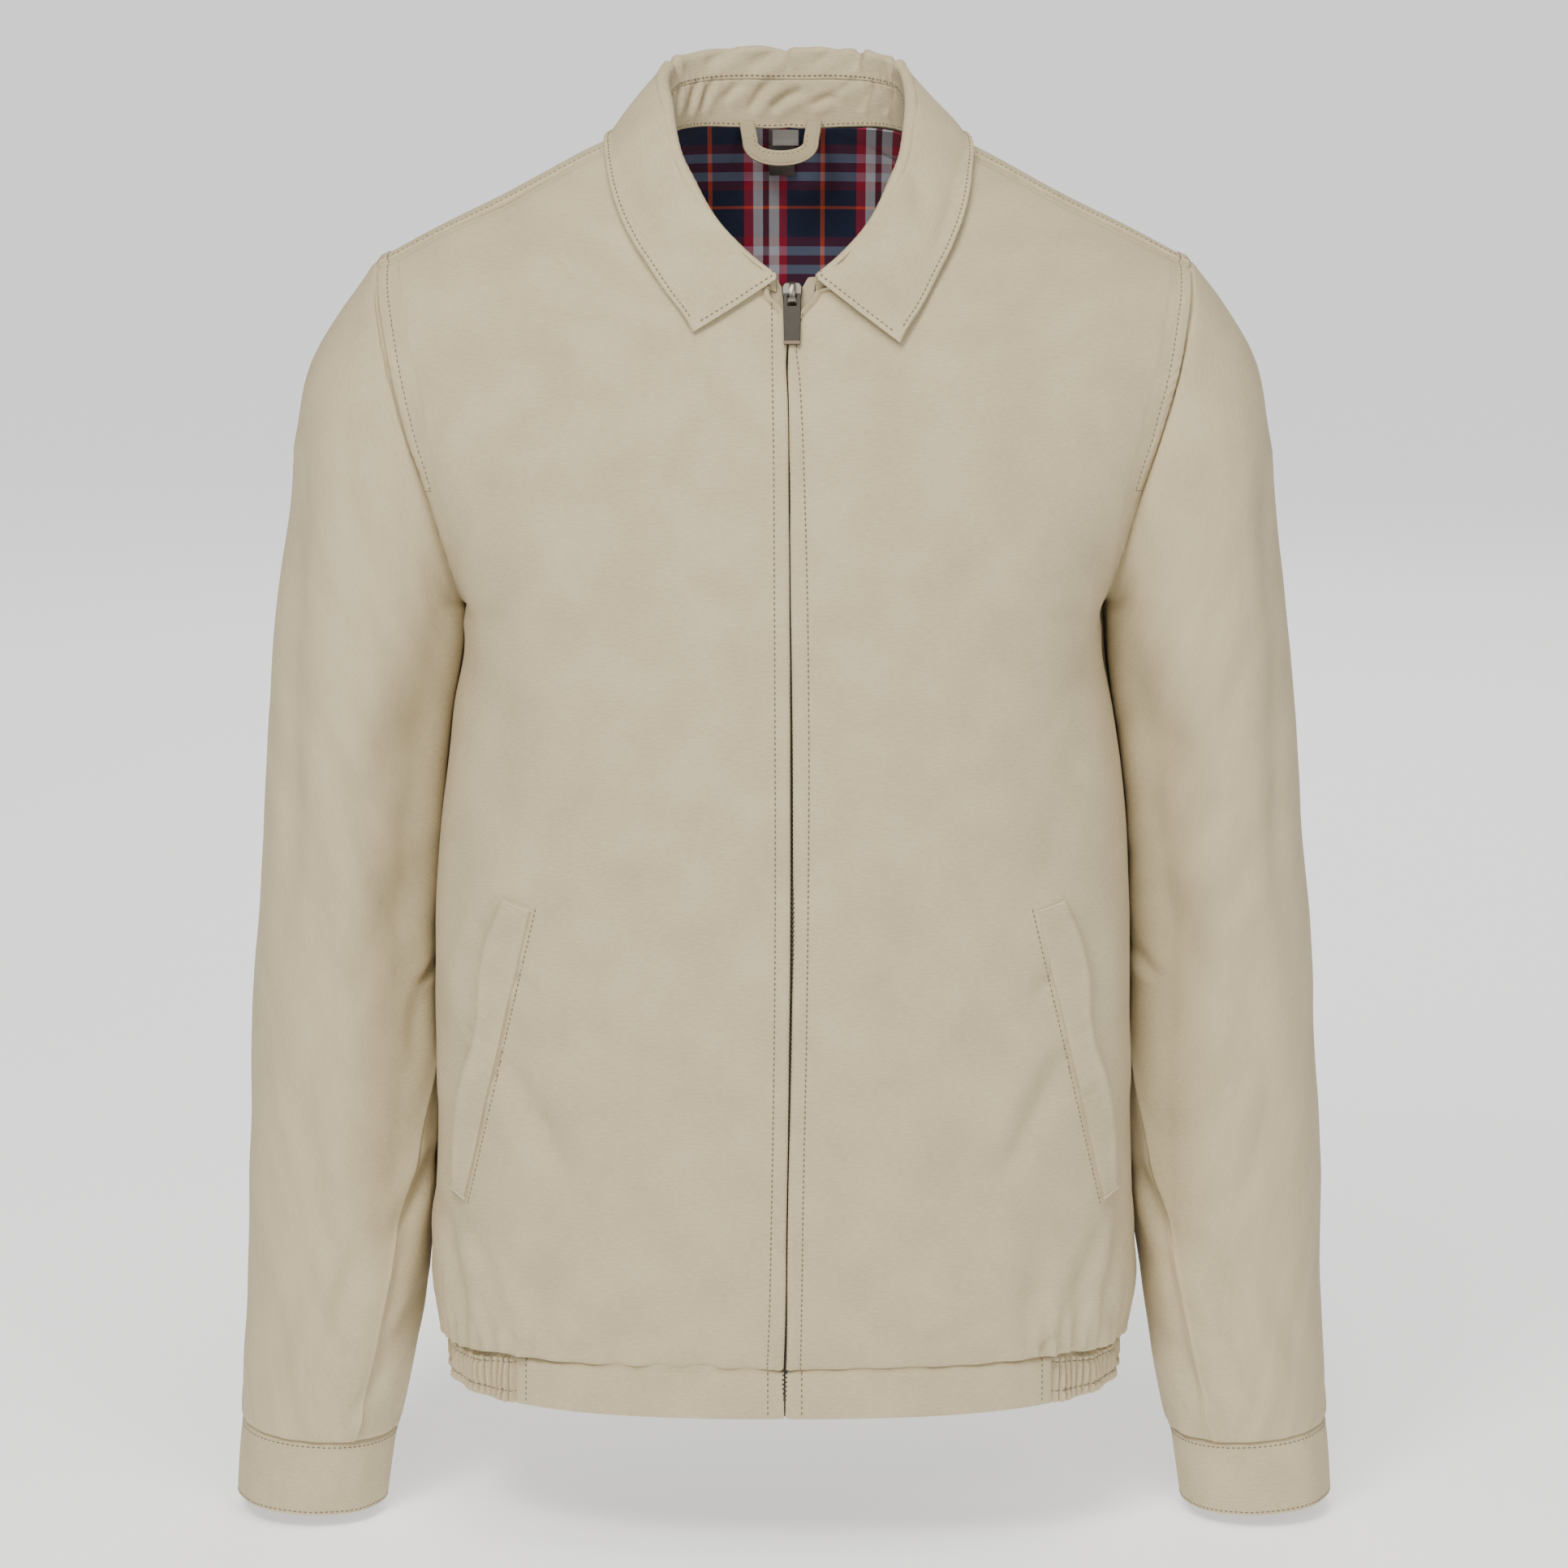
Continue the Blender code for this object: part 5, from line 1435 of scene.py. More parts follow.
def make_band(name, start, end, step, stitch_at):
    """A flat length of the hem band, with rounded edges and a row of stitches at each end."""
    columns = max(2, round(abs(end - start) * 2.6 / step))
    angles = np.radians(np.linspace(start, end, columns + 1))[None, :]
    heights = spaced(BAND_HEIGHT + BAND_UNDER, 2.0, ((0, 2, 0.4), (BAND_HEIGHT, 3, 0.4))) / BAND_HEIGHT
    base = band_points(angles, heights)
    normal = normals(base, away_from=BAND_MIDDLE)
    s = run_length(base, 1)
    t = heights[:, None] * np.ones_like(s)
    up = t * BAND_HEIGHT
    seed = SEEDS["hem_back" if name == "hem_back" else "hem_front"]
    lift = swell(base, seed, 60.0, 0.4) * smoothstep(t * 5) - rolled(up, 1.4) - BAND_TUCK * under_seam(up)
    lift -= rolled(s, 1.2) + rolled(s[:, -1:] - s, 1.2)
    outer = base + normal * lift[..., None]
    item = grid_wall(f"{name}_cloth", outer, outer - normal * CLOTH, cotton(), uv=np.stack([s, up], -1))
    length = float(s[0, -1])
    rows = []
    for place in stitch_at:
        far = place if place > 0 else length + place
        rows.append(stitches(*inset(outer[2:-3], normal[2:-3], s[2:-3], far)))
    sewn = sew(f"{name}_stitching", rows, thread())
    declare(name, with_pieces=[sewn])


BAND_END_STITCH = 7.5
BAND_CLOSER = 0.45


def make_hem():
    """The flat ends of the band beside the zip, and its flat back."""
    zip_x, half_gap = read(CLOSURE, BAND_TOP_Z)
    for side, word in ((-1, "right"), (1, "left")):
        edge_x = float(zip_x + side * (half_gap - BAND_CLOSER))
        start = math.copysign(front_band_angle(edge_x), edge_x)
        end = side * (ELASTIC_FROM - BAND_GAP_ANGLE)
        make_band(f"hem_front_{word}", start, end, 2.0, (STITCH_ZIP, -BAND_END_STITCH))
    start = ELASTIC_TO + BAND_GAP_ANGLE
    make_band("hem_back", start, 360 - start, 4.0, (BAND_END_STITCH, -BAND_END_STITCH))


# Creases of the welts, x with its sign
WELT_CREASES = (
    (-168, -468, -158, -474, -147, -478, 2.6, -1.1),
    (-166, -494, -160, -497, -154, -498, 2.6, -0.9),
    (-161, -414, -153, -418, -145, -417, 2.6, -0.6),
    (166, -466, 157, -470, 148, -473, 2.6, -0.9),
    (170, -500, 164, -504, 157, -506, 2.6, -0.9),
)


WELT_LENGTH = 175.0
WELT_MIDDLE = (0.0, 0.0, -470.0)


def make_welt(side, word):
    """A single welt on the front, along the pocket's slanting opening."""
    t = spaced(WELT_LENGTH, 2.6, ((0, 3, 0.4), (WELT_LENGTH, 3, 0.4)))[:, None] / WELT_LENGTH
    in_x, in_z, free_x, free_z = read(WELT, t)
    w = spaced(1.0, 0.07, ((1.0, 0.15, 0.35), (0, 0.15, 0.35)))[None, :]
    x = in_x + (free_x - in_x) * w
    z = in_z + (free_z - in_z) * w
    wide = np.hypot(free_x - in_x, free_z - in_z)
    # sewn down at three sides, where it sinks into the front; the fourth edge is a thick fold
    from_seam = np.minimum(np.minimum(w * wide, t * WELT_LENGTH), (1 - t) * WELT_LENGTH)
    from_fold = (1 - w) * wide
    lift = WELT_GAP + WELT_CLOTH + 4.2 * w * np.sin(np.pi * t) ** 0.7 + 0.5 * bell(from_fold - 2.0, 1.8)
    lift = lift - rolled(from_fold, 1.6) * 0.9
    lift += uneven(t * WELT_LENGTH, SEEDS["welt"] + side, 24.0) * 0.5 * w + creases(side * x, z, WELT_CREASES)
    out = fold_height(FRONT_FOLDS, x, z) + lift * smoothstep(from_seam / 2.6) - 0.7
    outer = np.stack([side * x, skin(x, z, -1, out), z], -1)
    normal = normals(outer, away_from=WELT_MIDDLE)
    inner = outer - normal * WELT_CLOTH
    item = grid_wall(f"welt_{word}_cloth", outer, inner, cotton(), uv=np.stack([x, z], -1))
    tacks = [stitches(outer[row, 2:-2], normal[row, 2:-2], *TACK_STITCH) for row in (2, -3)]
    sewn = sew(f"welt_{word}_bartacks", tacks, pale_thread())
    declare(f"pocket_welt_{word}", with_pieces=[sewn])


def make_lining():
    """The plaid lining inside the back, over its whole height and over the shoulder."""
    over_angles = np.array([-6.0, -10.0, -SEAM_ANGLE + LINING_GAP_ANGLE])
    behind = torso_rows(1, 0.0, 6.0, ((33.0, 16.0, 0.3),), low_from=LINING_FROM_Z)
    u = spaced(PANEL_WIDTH, 5.0) / PANEL_WIDTH
    halves, cuts, turns = [], [], []
    for side in (-1, 1):
        base = half_back(side, behind, over_angles, u, -LINING_DEEP)[0]
        cuts.append(np.stack([base[..., 0], base[..., 2] - np.maximum(-base[..., 1], 0.0)], -1))
        halves.append(base)
        turns.append(normals(base, away_from=TORSO_MIDDLE))
    item = join_halves("lining_plaid", halves, turns, cuts, LINING, plaid())
    declare("lining_back")


def half_collar(side, columns, rim_rows, stand_rows, fold_rows, leaf_rows):
    """One side's middle surface: straight up the stand, a half circle over, and a parabola down the leaf."""
    share = np.linspace(0.0, 1.0, columns)
    turn, roll_x, roll_y, roll_z, edge_x, edge_y = read(COLLAR, share)
    if side < 0:
        edge_y = edge_y + RIGHT_POINT_BACK * smoothstep((share - 1 + RIGHT_POINT_OVER) / RIGHT_POINT_OVER)
    in_front = smoothstep((share - COLLAR_FRONT_FROM) / COLLAR_FRONT_OVER)[:, None]
    radius, bulge = (back + (front - back) * in_front for back, front in (COLLAR_ROLL, COLLAR_BULGE))
    neck = neckline(turn)
    roll = np.stack([roll_x, roll_y, roll_z], -1)
    edge = np.stack([edge_x, edge_y, height_at(edge_x, edge_y)], -1)
    up = unit(roll - neck)
    along = np.gradient(neck, axis=0)
    along[0] = (1.0, 0.0, 0.0)
    away = unit(np.cross(up, along))
    start = neck + up * STAND_RISE - away * COLLAR_CLOTH
    top = roll - up * radius - away * COLLAR_CLOTH / 2
    down = np.array([0.0, 0.0, -1.0]) * (1 - 0.5 * in_front) - away * 0.05
    lines = [start + down * distance for distance in rim_rows]
    lines += [start + (top - start) * t for t in stand_rows]
    turns = np.linspace(0, np.pi, fold_rows + 1)[1:-1]
    for t in turns:
        lines.append(top + radius * (away * (1 - math.cos(t)) + up * math.sin(t)))
    leaf_start = top + 2 * radius * away
    leaf = []
    for t in leaf_rows:
        leaf.append(leaf_start + (edge - leaf_start) * t + away * bulge * 4 * t * (1 - t))
    half = np.concatenate([np.stack(lines), rest_on_torso(np.stack(leaf))])
    half[..., 0] *= side
    place = np.interp(stand_rows, (0.0, STAND_SHARE, 1.0), (0.0, 2.0, 4.0))
    place = np.concatenate([np.zeros(len(rim_rows)), place, 4 + turns * 4 / np.pi, np.full(len(leaf), 5.0)])
    follows = 1 - np.minimum(place / 5.0, 1.0)[:, None]
    stays = smoothstep((half[..., 1] - LEAF_SHIFT_FROM) / LEAF_SHIFT_OVER) * (1 - follows)
    half[..., 0] += neck_shift(half[..., 1]) - NECK_SHIFT * stays
    return half


def collar_grid(*rows):
    """The collar's middle surface, from its right end to its left."""
    return np.concatenate([half_collar(-1, *rows)[:, :0:-1], half_collar(1, *rows)], axis=1)


# Creases inside the stand and the roll, along the collar from its middle and up from the neckline:
# ends and middle point, half width, height outwards
STAND_CREASES = (
    (-73, 4, -70, 12, -66, 20, 2.2, -1.74),
    (-61, 3, -57, 11, -52, 21, 2.2, -2.175),
    (-50, 4, -46, 13, -40, 22, 2.2, -1.885),
    (-36, 9, -31, 15, -24, 21, 2.4, -1.45),
    (-21, 4, -16, 13, -8, 23, 2.6, -2.61),
    (-10, 5, -1, 12, 9, 17, 2.6, -2.465),
    (12, 7, 19, 11, 27, 13, 2.4, -2.03),
    (28, 13, 33, 18, 40, 23, 2.2, -1.45),
    (41, 4, 45, 12, 50, 20, 2.4, -2.175),
    (58, 3, 62, 10, 66, 17, 2.2, -1.885),
    (-22, 28, -9, 35, 5, 43, 3.6, -2.465),
    (1, 27, 1.5, 33, 0.5, 44, 1.7, -1.595),
    (38, 27, 41, 34, 44, 44, 2.4, -2.61),
    (-46, 28, -36, 34, -26, 39, 3.2, -2.03),
    (14, 29, 23, 35, 32, 40, 3.2, -1.885),
    (-66, 26, -70, 36, -74, 50, 2.6, -2.61),
    (64, 26, 69, 36, 74, 50, 2.6, -2.61),
)
# Creases of the leaf on the chest, by x and z
LEAF_CREASES = (
    (-63, 24, -58, 8, -50, -8, 3.2, -1.92),
    (64, 20, 62, 2, 58, -12, 3.4, -1.76),
    (-22, -54, -15, -61, -8, -66, 3.0, -1.92),
    (26, -63, 31, -61, 36, -57, 2.8, -1.76),
    (-57, -82, -50, -79, -44, -83, 2.4, -1.6),
    (67, -16, 71, -30, 72, -46, 5.0, -1.6),
    (90, -28, 85, -45, 78, -62, 5.0, -1.28),
    (-82, -18, -73, -40, -60, -60, 6.0, -1.44),
    (46, -62, 54, -70, 64, -76, 4.5, -1.28),
)
# distances of the stitch rows from the leaf's edge, the stand's top and its rim
STITCH_LEAF = 2.6
STITCH_STAND = 1.7
STITCH_RIM = 1.9


def collar_distances(middle, neck, split):
    """Distances on the collar: along it, up from the neckline and the stand, and from its edges."""
    run, from_rim = run_length(middle, 1), run_length(middle, 0)
    far = SimpleNamespace(from_rim=from_rim, from_edge=from_rim[-1:] - from_rim)
    far.ends = (run, run[:, -1:] - run)
    far.along = run - run[:, [run.shape[1] // 2]]
    far.up = from_rim - from_rim[neck]
    far.above = far.up - far.up[split]
    far.from_end = np.minimum(*far.ends)
    far.edge = np.minimum(far.from_edge, np.where(far.above > 12.0, far.from_end, 99.0))
    return far


def collar_folds(middle, far, leaf):
    """Heights of both sheets: creases of stand, roll and leaf, and puckers along the seams and the edge."""
    lift = creases(far.along, far.up, STAND_CREASES) * smoothstep(far.from_end / 30.0)
    lift += creases(middle[..., 0], middle[..., 2], LEAF_CREASES) * leaf
    lift += swell(middle, SEEDS["collar_swell"], 45.0, 0.5)
    rows = (
        (far.along, "stand_seam", far.above, dict(pitch=5.5, height=0.45, place=1.0, reach=4.0)),
        (far.along, "collar_rim", far.from_rim, dict(pitch=4.5, height=0.22, place=2.0, reach=3.0)),
        (far.along + far.up, "leaf_edge", far.edge, dict(pitch=6.5, height=0.22, place=3.5, reach=3.0)),
    )
    for along, name, across, sizes in rows:
        lift += puckers(along, SEEDS[name], across, **sizes)
    return lift


def collar_seams(far):
    """Heights of the shown sheet: edges turned double, grooves under the stitches, and rounded rims."""
    lift = 0.5 * smoothstep((STITCH_LEAF + 1.2 - far.edge) / 1.5) + groove(far.edge - STITCH_LEAF, 0.8, 0.5)
    lift -= rolled(far.edge, 1.3) * 0.8
    turned = np.where(far.above >= -0.01, smoothstep((3.4 - far.above) / 1.5), 0.0)
    lift += 0.6 * turned + groove(far.above - STITCH_STAND, 0.8, 0.45)
    lift -= rolled(np.maximum(far.above, 0.0), 0.9) * 0.6 * turned
    lift += 0.4 * smoothstep((3.2 - far.from_rim) / 1.2) + groove(far.from_rim - STITCH_RIM, 0.7, 0.45)
    return lift - rolled(far.from_rim, 1.2) * 0.8


def sew_collar(top, normal, far, split):
    """Stitches along the leaf's outer edge, its two ends, the stand's top and its rim."""
    turned = [np.swapaxes(v, 0, 1)[3:-3, ::-1] for v in (top, normal, far.from_edge)]
    rows = [stitches(*inset(*turned, STITCH_LEAF))]
    for from_end, order in zip(far.ends, (1, -1)):
        ends = [v[split + 12 : -4, ::order] for v in (top, normal, from_end)]
        rows.append(stitches(*inset(*ends, STITCH_LEAF)))
    for level, value in ((far.above, STITCH_STAND), (far.from_rim, STITCH_RIM)):
        part = [np.swapaxes(v, 0, 1) for v in (top, normal, level)]
        rows.append(stitches(*inset(*part, value)))
    sew("collar_stitching", rows, thread())


def make_collar():
    """The stand inside the neck, and the leaf sewn to its top, which rolls over to the shoulders."""
    rim_rows = (4.2, 3.8, 3.1, 2.2, 1.1)
    stand_rows = np.concatenate([spaced(1.0, 0.05) * STAND_SHARE, [0.66, 0.7, 0.76, 0.82, 0.88, 0.94, 1.0]])
    leaf_rows = spaced(1.0, 0.045, ((1.0, 0.06, 0.35), (0.0, 0.1, 0.6)))
    neck = len(rim_rows)
    split = neck + int(np.argmin(np.abs(stand_rows - STAND_SHARE)))
    middle = collar_grid(150, rim_rows, stand_rows, 12, leaf_rows)
    normal = unit(np.cross(slopes(middle, 0), slopes(middle, 1)))
    if np.sum(normal[-6] * np.array([0.0, -0.3, 1.0])) < 0:
        normal = -normal
    far = collar_distances(middle, neck, split)
    leaf = np.arange(len(middle))[:, None] >= len(middle) - len(leaf_rows)
    centre = middle + normal * collar_folds(middle, far, leaf)[..., None]
    top = centre + normal * (COLLAR_CLOTH / 2 + collar_seams(far))[..., None]
    under = centre - normal * (COLLAR_CLOTH / 2 + groove(far.edge, 1.0, 0.3))[..., None]
    uv = np.stack([far.along, far.up], -1)
    pieces = (
        ("collar_stand", slice(0, split + 1), (0.36, 0.02)),
        ("collar_leaf", slice(split, None), (0.46, 0.07)),
    )
    for name, rows, flat in pieces:
        outer, inner = top[rows].copy(), under[rows].copy()
        if name == "collar_stand":
            # its top runs on inside the leaf's turned edge
            tongue = unit(outer[-1] - outer[-2]) * 0.9
            outer[-1] += tongue - normal[split] * 1.3
            inner[-1] += tongue + normal[split] * 0.4
        item = grid_wall(f"{name}_cloth", outer, inner, cotton(), uv=uv[rows])
        declare(name)
    sew_collar(top, normal, far, split)


def make_loop():
    """The hanger loop: a flat strap hanging from both ends in a shallow curve."""
    angles = np.linspace(0.0, np.pi, 60)
    leg = np.linspace(0.0, 1.0, 10)[:-1]
    x = np.concatenate([-1.0 + 0.1 * leg, -np.cos(angles) * 0.9, 1.0 - 0.1 * leg[::-1]]) * LOOP_HALF_SPREAD
    x = x + LOOP_MIDDLE_X
    low = -LOOP_LEG - LOOP_SAG * np.sin(angles) ** 0.8
    z = np.concatenate([-LOOP_LEG * leg, low, -LOOP_LEG * leg[::-1]]) + LOOP_TOP_Z
    run = unit(np.stack([np.gradient(x), np.gradient(z)], -1))
    run[0], run[-1] = (0.0, -1.0), (0.0, 1.0)
    width = np.linspace(-1.0, 1.0, 15)[None, :]
    edge = (1 - np.abs(width)) * LOOP_HALF_WIDTH
    across = width * LOOP_HALF_WIDTH
    gx, gz = x[:, None] - run[:, 1:] * across, z[:, None] + run[:, :1] * across
    rise = rolled(edge, 0.9) * 0.7 - groove(edge - 1.3, 0.5, 0.25)
    outer = np.stack([gx, LOOP_Y + rise + 0 * gx, gz], -1)
    inner = np.stack([gx, np.full_like(gx, LOOP_Y + LOOP_CLOTH), gz], -1)
    s = run_length(outer, 0)
    item = grid_wall("loop_cloth", outer, inner, cotton(), uv=np.stack([across + 0 * gx, s], -1))
    normal = np.zeros_like(outer) + np.array([0.0, -1.0, 0.0])
    # one row of stitches near the strap's upper edge
    line = -4 if gz[30, -1] > gz[30, 0] else 3
    sewn = sew("loop_stitching", [stitches(outer[6:-6, line], normal[6:-6, line], 2.6, 1.8, 0.5)], thread())
    declare("hanger_loop", with_pieces=[sewn])


def make_labels():
    """Two satin labels on the lining, left bare."""
    for name, slot, colour, long, x0, x1, z0, z1, deep in LABELS:
        satin = new_material(f"{name}_satin", colour, 0.45, sheen=0.3)
        g = Graph(satin)
        uv = g.uv()
        g.bump(g.noise(g.scaled(uv, 3000, 700), 1.0, 1.0), 0.00004)
        x, z = np.meshgrid(np.linspace(x0, x1, 24), np.linspace(z0, z1, 24))
        curl = 0.35 * np.sin((x - x0) / (x1 - x0) * np.pi) - 0.35 * smoothstep(1 - (z - z0) / 4)
        sheets = [np.stack([x, skin(x, z, 1, -deep - more + curl), z], -1) for more in (0.0, LABEL_CLOTH)]
        item = grid_wall(f"{name}_satin", *sheets, satin, uv=np.stack([x, z], -1))
        declare(name)


# ---- zip


def box_corners(centre, size):
    """The eight corners of a box."""
    corners = np.array([[i, j, k] for k in (-0.5, 0.5) for j in (-0.5, 0.5) for i in (-0.5, 0.5)])
    return corners * np.asarray(size) + np.asarray(centre)


BOX_FACES = np.array([[0, 2, 3, 1], [4, 5, 7, 6], [0, 1, 5, 4], [2, 6, 7, 3], [0, 4, 6, 2], [1, 3, 7, 5]])
NICKEL = (0.20, 0.185, 0.155)
ANTIQUE_METAL = (0.043, 0.040, 0.034)
# the pull's lower lip: copper, lighter than the tab, as a painted highlight along its lower edge
COPPER_EDGE_HIGHLIGHT = (0.17, 0.125, 0.085)
TOOTH_METAL = (0.075, 0.07, 0.06)
TAPE_RISE = 4.5
# the tape is dark and turns pale above a height, over a stretch, both in metres of its own UV
TAPE_DARK = (0.15, 0.13, 0.095)
TAPE_PALE = (0.42, 0.35, 0.22)
TAPE_PALE_FROM = -0.096
TAPE_PALE_OVER = 0.01
TEETH_TOP_Z = -88.0
TEETH_PITCH = 1.25
TOOTH_SIZE = (2.5, 1.9, 1.0)
TOOTH_ASIDE = 0.7
# in the band the teeth are narrower and lie deeper
TOOTH_BAND_Z = -644.0
TOOTH_BAND_NARROWER = 0.9
TOOTH_BAND_DEEPER = 0.8


def make_teeth():
    """The row of small metal teeth, which lie to either side in turn."""
    metal = new_material("tooth_metal", bpy.context.scene.jacket_metal.teeth_colour, 0.35, metallic=1.0)
    places = np.arange(TAPE_BOTTOM_Z + 3, TEETH_TOP_Z, TEETH_PITCH)
    wide, deep, high = TOOTH_SIZE
    points = []
    for k, place in enumerate(places):
        middle = float(read(CLOSURE, place)[0]) + (TOOTH_ASIDE if k % 2 else -TOOTH_ASIDE)
        in_band = float(smoothstep((TOOTH_BAND_Z - place) / 6.0))
        y = float(skin(middle, place, -1, -TAPE_INSET + deep / 2 - TOOTH_BAND_DEEPER * in_band))
        points.append(box_corners((middle, y, place), (wide - TOOTH_BAND_NARROWER * in_band, deep, high)))
    faces = (BOX_FACES[None] + (np.arange(len(places)) * 8)[:, None, None]).reshape(-1, 4)
    return new_object("zip_teeth", np.concatenate(points), [faces], metal, smooth=False)


def make_zip_tape():
    """The tape behind the fronts, wider and pulled down round the slider, with its teeth."""
    length = TAPE_TOP_Z + TAPE_RISE - TAPE_BOTTOM_Z
    z = spaced(length, 4.0, ((length, 20.0, 0.4),))[:, None] + TAPE_BOTTOM_Z
    flare = 5.6 * smoothstep((z + 93.0) / 14.0)
    x = read(CLOSURE, z)[0] + np.linspace(-1.0, 1.0, 15)[None, :] * (TAPE_HALF_WIDTH + flare)
    from_middle = np.abs(x - SLIDER_X)
    z = z - 6.5 * smoothstep((z + 93.0) / 16.0) * smoothstep((9.0 - from_middle) / 5.0)
    sheets = [np.stack([x, skin(x, z, -1, -TAPE_INSET - deep), z], -1) for deep in (0.0, TAPE_CLOTH)]
    tape = new_material("zip_tape_weave", TAPE_DARK, 0.85)
    g = Graph(tape)
    height = g.add("ShaderNodeSeparateXYZ", {0: g.uv()}).outputs[1]
    upper = g.math("MULTIPLY", g.math("ADD", height, -TAPE_PALE_FROM), 1 / TAPE_PALE_OVER)
    g.colour(g.ramp(upper, ((0.0, TAPE_DARK), (1.0, TAPE_PALE)), steps=False))
    item = grid_wall("zip_tape_weave", *sheets, tape, uv=np.stack([x, z], -1))
    declare("zip_tape", with_pieces=[make_teeth()])


def on_slider(points):
    """Points of the slider's own frame, put on the chest at its lean."""
    c, s = math.cos(SLIDER_LEAN), math.sin(SLIDER_LEAN)
    x, y, z = np.moveaxis(np.asarray(points, float), -1, 0)
    place = np.array([SLIDER_X, float(skin(SLIDER_X, SLIDER_Z, -1)), SLIDER_Z])
    return np.stack([x, c * y - s * z, s * y + c * z], -1) + place


def plate(name, outline, front, back, material, hole=None, body="jacket", bevel=0.3):
    """A flat plate through rows of (height, x positions) with its edges rounded; hole leaves one cell out."""
    rows = np.array([[(x, 0.0, z) for x in xs] for z, xs in outline])
    quads = grid_quads(*rows.shape[:2])
    if hole is not None:
        quads = np.delete(quads, hole, axis=0)
    shift = np.array([0.0, 1.0, 0.0])
    outer, inner = on_slider(rows - shift * front), on_slider(rows + shift * back)
    item = wall(name, outer, inner, quads, material, uv=rows[..., [0, 2]], body=body, sharp=30)
    round_edges = item.modifiers.new("rounded_edges", "BEVEL")
    round_edges.width = bevel * MM
    round_edges.segments = 3
    round_edges.limit_method = "ANGLE"
    return item


# height, half width
SLIDER_ROWS = ((5.6, 3.6), (4.6, 4.6), (3.4, 5.4), (1.0, 5.3), (-1.5, 5.0), (-4.0, 4.6), (-5.8, 3.9))
SLIDER_FRONT = 1.4
SLIDER_BACK = 2.0
BRIDGE_HALF_WIDTH = 1.6
BRIDGE_THICK = 1.1
BRIDGE_BOW = 0.315
PIVOT_Z = -1.4
PIVOT_OUT = 1.25
PULL_LENGTH = 27.0
PULL_THICK = 1.3
PULL_BAR = 0.65
WINDOW_LENGTH = 5.7
WINDOW_HALF_WIDTH = 2.3
# height from the pivot, half width
PULL_ROWS = (
    (PULL_BAR, 4.1),
    (-PULL_BAR, 4.6),
    (-PULL_BAR - WINDOW_LENGTH, 4.6),
    (-10.0, 4.55),
    (-15.0, 4.45),
    (-20.0, 4.35),
    (-PULL_LENGTH + PULL_BAR, 4.2),
)
# height from the tab's lower end, half width
LIP_ROWS = ((1.5, 4.05), (1.2, 4.4), (-0.1, 4.4), (-0.5, 4.1))


def make_slider():
    """The slider's body and the bridge that stands over it."""
    nickel = new_material("bright_nickel", bpy.context.scene.jacket_metal.slider_colour, 0.33, metallic=1.0)
    outline = [(z, (-w, 0.0, w)) for z, w in reversed(SLIDER_ROWS)]
    item = plate("slider_body", outline, SLIDER_FRONT, SLIDER_BACK, nickel, bevel=0.7)
    t = np.linspace(0.0, np.pi, 25)
    profile = np.stack([-(SLIDER_FRONT - 0.6 + 4.2 * np.sin(t) ** 0.55), -0.3 + 5.6 * np.cos(t)], -1)
    run = unit(np.gradient(profile, axis=0))
    across = np.linspace(-1.0, 1.0, 9)[None, :]
    sheet = (across * BRIDGE_HALF_WIDTH, profile[:, :1] - BRIDGE_BOW * (1 - across**2), profile[:, 1:])
    outer = np.stack(np.broadcast_arrays(*sheet), -1)
    inwards = np.stack([np.zeros(len(t)), -run[:, 1], run[:, 0]], -1)
    inner = outer + inwards[:, None] * BRIDGE_THICK
    bridge = grid_wall("slider_bridge", on_slider(outer), on_slider(inner), nickel, uv=outer[..., [0, 2]])
    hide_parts("zip_slider")


def make_pull():
    """The tab that hangs from the bridge, with its window."""
    metal = new_material("dark_antique_metal", bpy.context.scene.jacket_metal.pull_colour, 0.4, metallic=1.0)
    g = Graph(metal)
    g.bump(g.noise(g.scaled(g.uv(), 2600, 1500), 1.0, 3.0), 0.00012)
    top = -PIVOT_OUT - SLIDER_FRONT
    outline = [(z + PIVOT_Z, (-w, -WINDOW_HALF_WIDTH, WINDOW_HALF_WIDTH, w)) for z, w in PULL_ROWS]
    front, back = PULL_THICK / 2 - top, PULL_THICK / 2 + top
    item = plate("pull_tab", outline, front, back, metal, hole=4, body="zip_pull", bevel=0.28)
    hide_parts("zip_pull")
    low = -PULL_LENGTH + PULL_BAR + PIVOT_Z
    lip = [(low + up, (-w, 0.0, w)) for up, w in LIP_ROWS]
    # the lower lip is a lighter copper plate: a painted highlight along the tab's lower edge
    copper = new_material("copper_edge_highlight", bpy.context.scene.jacket_metal.lip_highlight_colour, 0.32, metallic=1.0)
    edge = plate("pull_lip", lip, front + 0.25, back + 0.2, copper, body="zip_pull", bevel=0.25)


# ---- floor, lights and camera

CAMERA = (0.0, -2.95, 0.2)
AIM = (0.0, 0.0, -0.352)
LENS = 127.1
FLOOR_Z = -0.7605
FLOOR_HALF_WIDTH = 30.0
FLOOR_COLOUR = (0.90, 0.91, 0.93)
# name, place, aim, size, power, colour
LIGHTS = (
    ("key_light", (-0.9, -1.9, 1.6), (0, 0, -0.3), 0.8, 37.0, (1.0, 0.97, 0.92)),
    ("fill_light", (1.1, -2.5, 1.2), (0, 0, -0.3), 1.0, 16.0, (1.0, 0.97, 0.92)),
    ("top_light", (0.1, -0.7, 1.5), (0, 0, -0.2), 0.8, 12.0, (1.0, 0.98, 0.94)),
    ("back_light", (0.6, 2.9, 1.5), (0, 0, -0.35), 2.2, 30.0, (1.0, 0.98, 0.94)),
)
SUN_STRENGTH = 1.2
SUN_COLOUR = (1.0, 0.97, 0.91)
SUN_ANGLE = math.radians(22.0)
SUN_TURN = (math.radians(36.0), 0.0, math.radians(-10.0))
ROOM_STRENGTH = 0.19
FLOOR_GLOW = 0.75


